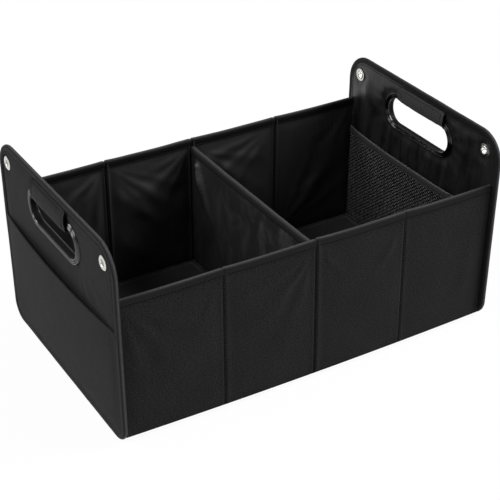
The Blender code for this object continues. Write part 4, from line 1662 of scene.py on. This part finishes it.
@dataclass
class Divider:
    """The cross wall on the middle crease: a board in folded lining cloth, with a tape along its top."""

    shop: Organizer
    height: float = 0.181
    grid: float = 0.0028

    def build(self) -> None:
        """Builds the cloth, the tape and its stitches."""
        sizes = self.shop.sizes
        axes = sizes.cross_axes()
        half = sizes.inner_width / 2 - sizes.seat
        foot = sizes.wall_foot + sizes.lining * 0.4
        top = self.height - sizes.edge_tape - 0.002
        face = sizes.board / 2 + sizes.seat + sizes.lining
        side_length = top - foot
        left = (Ripple(0.0007, 0.016, 0.11, 21.0), Ridge((0.1380, 0.1820), (0.0900, 0.0920), 0.0046, 0.0074),
                Ridge((-0.045, 0.150), (-0.065, 0.070), 0.0100, 0.0016),
                Ridge((-0.085, 0.160), (-0.095, 0.090), 0.0060, 0.0013),
                PullFan(-half + 0.004, 0.168, -50, 36, 0.045, 0.0018, 4.0))
        right = (Ripple(0.0012, 0.018, 0.11, 25.0),
                 PullFan(-half + 0.002, 0.170, -60, 28, 0.050, 0.0026, 3.0),
                 PullFan(half - 0.002, 0.170, -125, 28, 0.050, 0.0024, 3.0))

        def surface(x: float, y: float) -> Vector:
            way = 1 if y > 0 else -1
            height = foot + max(abs(y) - face, 0.0)
            if abs(y) < face:
                return Vector((x, foot, y))
            ends = eased((half - abs(x)) / 0.003)
            free = eased(min(3 * (half - abs(x)), 2 * (top - sizes.lip - height), height - foot) / 0.012)
            swell = 0.0008 * dome(x, half) * arch((height - foot) / side_length)
            folds = raised(left if way < 0 else right, x, height) * free
            return Vector((x, height, way * (face + swell + folds * ends)))

        columns = stations([-half, half], self.grid)
        side = stations([face, face + side_length], self.grid)
        rows = [-y for y in reversed(side)] + side
        piece = self.shop.add("divider_cloth", cloth(columns, rows, surface, sizes.drawn_lining), axes,
                              DIVIDER_CLOTH, ["divider_cover"])

        high = self.height - sizes.edge_tape
        track = Track([Vector((half, high)), Vector((-half, high))], step=0.005)
        edge = face + sizes.seat + sizes.tape
        tape = FoldedTape(-edge, edge, sizes.edge_tape, sizes.lip, round_depth=0.0022)

        def shift(distance: float) -> Vector:
            x = half - distance
            waver = noise.noise(Vector((x * 25, 4.0, 0))) * 0.0004
            return Vector((0, waver - 0.0010 * dome(x, half), waver))

        self.shop.bind(("divider_edge_tape", "divider_edge_stitches", "divider_tape"), track, tape, shift,
                       axes, DIVIDER_TAPE, ["divider_cloth"])


@dataclass
class Base:
    """The cloth base, and a loose cloth-covered floor board on each side of the divider."""

    shop: Organizer
    board: float = 0.0035
    clearance: float = 0.0035
    gap: float = 0.0008
    seam: float = 0.0070

    def build(self) -> None:
        """Builds the base cloth, the two floor boards and their seams."""
        self.base_cloth()
        for side in Side:
            self.floor_board(side)

    def base_cloth(self) -> None:
        """The base cloth, which hangs a little between the end panels."""
        sizes = self.shop.sizes
        half = sizes.length / 2 - sizes.seat
        folds = (Ripple(0.0006, 0.06, 0.06, 31.0), Ripple(0.0003, 0.02, 0.02, 32.0))

        def surface(x: float, y: float) -> Vector:
            free = eased(min(half - abs(x), sizes.width / 2 - abs(y)) / 0.02)
            sag = 0.0012 * dome(x, half) * arch(y / sizes.width + 0.5)
            front = sizes.bow(x) * clamp(-y / (sizes.width / 2)) ** 3 * 1.15
            return Vector((x, y - front, sizes.base_rise + sizes.cover - (sag + raised(folds, x, y)) * free))

        columns = stations([-half, half], 0.006)
        rows = stations([-sizes.width / 2, sizes.width / 2], 0.006)
        piece = self.shop.add("base_cloth", cloth(columns, rows, surface, sizes.cover), Matrix.Identity(4),
                              OXFORD, ["base_cover"])

    def floor_board(self, side: Side) -> None:
        """One floor board: its cloth is sewn shut in a seam that runs round near its edge."""
        sizes, s = self.shop.sizes, side.value
        near = sizes.board / 2 + sizes.seat + sizes.lining + sizes.seat + self.gap
        far = sizes.length / 2 - self.clearance
        half_x, half_y = (far - near) / 2, sizes.inner_width / 2 - self.clearance
        middle = s * (near + far) / 2
        low = sizes.base_rise + sizes.cover + sizes.seat
        folds = (Ripple(0.0004, 0.05, 0.05, 41.0 + s), Ripple(0.0002, 0.014, 0.014, 43.0 + s))
        cut = Outline(2 * half_x, -half_y, half_y, 0.003, 0.003)

        def surface(x: float, y: float) -> Vector:
            edge = min(half_x - abs(x), half_y - abs(y))
            groove = 0.0005 * math.exp(-(((edge - self.seam) / 0.0012) ** 2))
            pad = 0.0002 * eased(edge / 0.004) + raised(folds, x, y) * 0.5 * eased((edge - self.seam) / 0.01)
            return Vector((x + middle, y, low + self.board - groove + pad - 0.0002))

        stops = [0.0, self.seam - 0.0012, self.seam, self.seam + 0.0012]
        columns, rows = (stations([-half + d for d in stops] + [half - d for d in reversed(stops)], 0.005)
                         for half in (half_x, half_y))
        shape = cloth(columns, rows, surface, self.board, fit=cut.fit)
        rims = [edge for edge in shape.edges if edge.calc_face_angle(0.0) > SHARP_ANGLE]
        bmesh.ops.bevel(shape, geom=rims, offset=0.0009, offset_type="OFFSET", segments=3, profile=0.5,
                        affect="EDGES", material=-1)
        self.shop.add(f"floor_cloth_{side.label}", shape, Matrix.Identity(4), FLOOR_CLOTH,
                      [f"floor_board_{side.label}"])
        line = cut.inset(self.seam).track(steps=3)
        shape = bmesh.new()

        def place(distance: float) -> tuple[Vector, Vector]:
            point, _ = line.at(distance % line.length)
            return sewn(surface(point.x, point.y), 1, 2 * THREAD_LIFT)

        # Real stitches, coloured light as a painted highlight along the seam's welt.
        Stitching(length=0.0036, space=0.0010, width=0.0010).row(shape, place, 0.0, line.length)
        self.shop.add(f"floor_stitches_{side.label}", shape, Matrix.Identity(4), SEAM_HIGHLIGHT_THREAD)


# Studio


@dataclass(frozen=True)
class Lamp:
    """A square soft box that points at a spot."""

    name: str
    place: tuple[float, float, float]
    aim: tuple[float, float, float]
    size: float
    power: float

    def build(self) -> None:
        """Adds the lamp to the scene."""
        data = bpy.data.lights.new(self.name, "AREA")
        data.shape = "SQUARE"
        data.size = self.size
        data.energy = self.power
        lamp = bpy.data.objects.new(self.name, data)
        bpy.context.scene.collection.objects.link(lamp)
        lamp.location = self.place
        lamp.rotation_euler = (Vector(self.aim) - Vector(self.place)).to_track_quat("-Z", "Y").to_euler()


@dataclass(frozen=True)
class Studio:
    """Camera, soft boxes, a white surround and a white floor that keeps the organizer's shadow."""

    camera_place: tuple[float, float, float] = (-0.7436, -1.2446, 0.9755)
    camera_aim: tuple[float, float, float] = (0.438915, 0.734523, -0.517522)
    camera_roll: float = math.radians(0.13)
    lens: float = 96.94
    sensor: float = 36.0
    fill: float = 0.16
    ceiling: float = 0.25
    lamps: tuple[Lamp, ...] = (
        Lamp("left soft box", (-2.5, -0.3, 2.4), (0.0, 0.0, 0.12), 1.4, 46.0),
        Lamp("right soft box", (2.65, -1.1, 2.65), (0.0, 0.0, 0.12), 2.0, 162.0),
        Lamp("back soft box", (-1.7, 1.7, 2.6), (0.0, 0.0, 0.12), 1.4, 50.0),
    )

    def build(self) -> None:
        """Builds the whole studio."""
        scene = bpy.context.scene
        scene.view_settings.view_transform = "Standard"
        self.camera(scene)
        self.surround(scene)
        self.floor()
        for lamp in self.lamps:
            lamp.build()

    def camera(self, scene: bpy.types.Scene) -> None:
        """The camera, at the photograph's angle."""
        data = bpy.data.cameras.new("camera")
        data.lens = self.lens
        data.sensor_width = self.sensor
        camera = bpy.data.objects.new("camera", data)
        scene.collection.objects.link(camera)
        turn = Vector(self.camera_aim).to_track_quat("-Z", "Y").to_matrix()
        camera.matrix_world = (Matrix.Translation(self.camera_place)
                               @ (turn @ Matrix.Rotation(self.camera_roll, 3, "Z")).to_4x4())
        scene.camera = camera

    def seen_directly(self, tree: Tree) -> tuple[bpy.types.NodeSocket, bpy.types.NodeSocket]:
        """Says which rays see the studio itself.

        Args:
            tree: the node tree of the world or the floor.

        Returns:
            1 for what the camera sees, also through glass, and 1 for what a mirror sees.
        """
        path = add_node(tree, "LightPath")
        seen = add_node(tree, "Math", [path.outputs["Is Camera Ray"], path.outputs["Is Transmission Ray"]],
                        operation="MAXIMUM")
        return seen.outputs[0], path.outputs["Is Glossy Ray"]

    def surround(self, scene: bpy.types.Scene) -> None:
        """A white world. Mirrors see it white all round and grey overhead, and it lights the object less."""
        world = bpy.data.worlds.new("white surround")
        world.use_nodes = True
        scene.world = world
        tree = world.node_tree
        tree.nodes.clear()
        seen, mirrored = self.seen_directly(tree)
        sky = add_node(tree, "SeparateXYZ", [add_node(tree, "TexCoord").outputs["Generated"]])
        overhead = add_node(tree, "MapRange", [sky.outputs["Z"], 0.10, 0.45, 1.0, self.ceiling])
        shown, ceiling, lighting = (add_node(tree, "Background", [WHITE, strength])
                                    for strength in (1.0, overhead, self.fill))
        indirect = add_node(tree, "MixShader", [mirrored, lighting, ceiling])
        mixed = add_node(tree, "MixShader", [seen, indirect, shown])
        add_node(tree, "OutputWorld", {"Surface": mixed})

    def floor(self) -> None:
        """The floor: mostly its own white, so that only the deepest part of the shadow shows."""
        shape = bmesh.new()
        bmesh.ops.create_grid(shape, x_segments=4, y_segments=4, size=4.0)
        mesh = bpy.data.meshes.new("floor")
        shape.to_mesh(mesh)
        shape.free()
        floor = bpy.data.objects.new("floor", mesh)
        bpy.context.scene.collection.objects.link(floor)
        material = bpy.data.materials.new("white studio floor")
        material.use_nodes = True
        tree = material.node_tree
        tree.nodes.clear()
        paint = add_node(tree, "BsdfDiffuse", {"Color": linear("#f4f4f4")})
        glow = add_node(tree, "Emission", [WHITE, 1.0])
        either = add_node(tree, "Math", self.seen_directly(tree), operation="MAXIMUM")
        share = add_node(tree, "Math", [either, 0.95], operation="MULTIPLY")
        mixed = add_node(tree, "MixShader", [share, paint, glow])
        add_node(tree, "OutputMaterial", {"Surface": mixed})
        mesh.materials.append(material)


def clear_scene() -> None:
    """Removes whatever the opened file holds."""
    for item in list(bpy.data.objects):
        bpy.data.objects.remove(item)


def main() -> None:
    """Loads the frame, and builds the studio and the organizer."""
    logging.basicConfig(level=logging.INFO, format="%(message)s")
    clear_scene()
    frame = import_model()
    Studio().build()
    shop = Organizer(Overall())
    for name, node in frame["nodes"].items():
        if "board" in name and not name.startswith("floor"):
            node.data.materials.clear()
            node.data.materials.append(BOARD.material())
    EndPanel(shop, Side.LEFT, grip_sag=0.007).build()
    EndPanel(shop, Side.RIGHT).build()
    NetPocket(shop).build()
    LongWall(shop, "front_wall", -1, crease_drift=(0.0012, -0.0020, -0.0027),
             tape_steps=(0.0004, 0.0014, 0.0013), crease_shares=(0.75, 1.0, 0.45),
             cover_folds=FRONT_COVER_FOLDS, lining_folds=FRONT_LINING_FOLDS).build()
    LongWall(shop, "back_wall", 1, crease_drift=(0.0, -0.0020, 0.0), tape_steps=(0.0005, 0.0005, 0.0005),
             cover_folds=BACK_COVER_FOLDS, lining_folds=BACK_LINING_FOLDS).build()
    Divider(shop).build()
    Base(shop).build()
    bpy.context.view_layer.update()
    LOG.info("%d pieces built", shop.count)


if __name__ == "__main__":
    main()
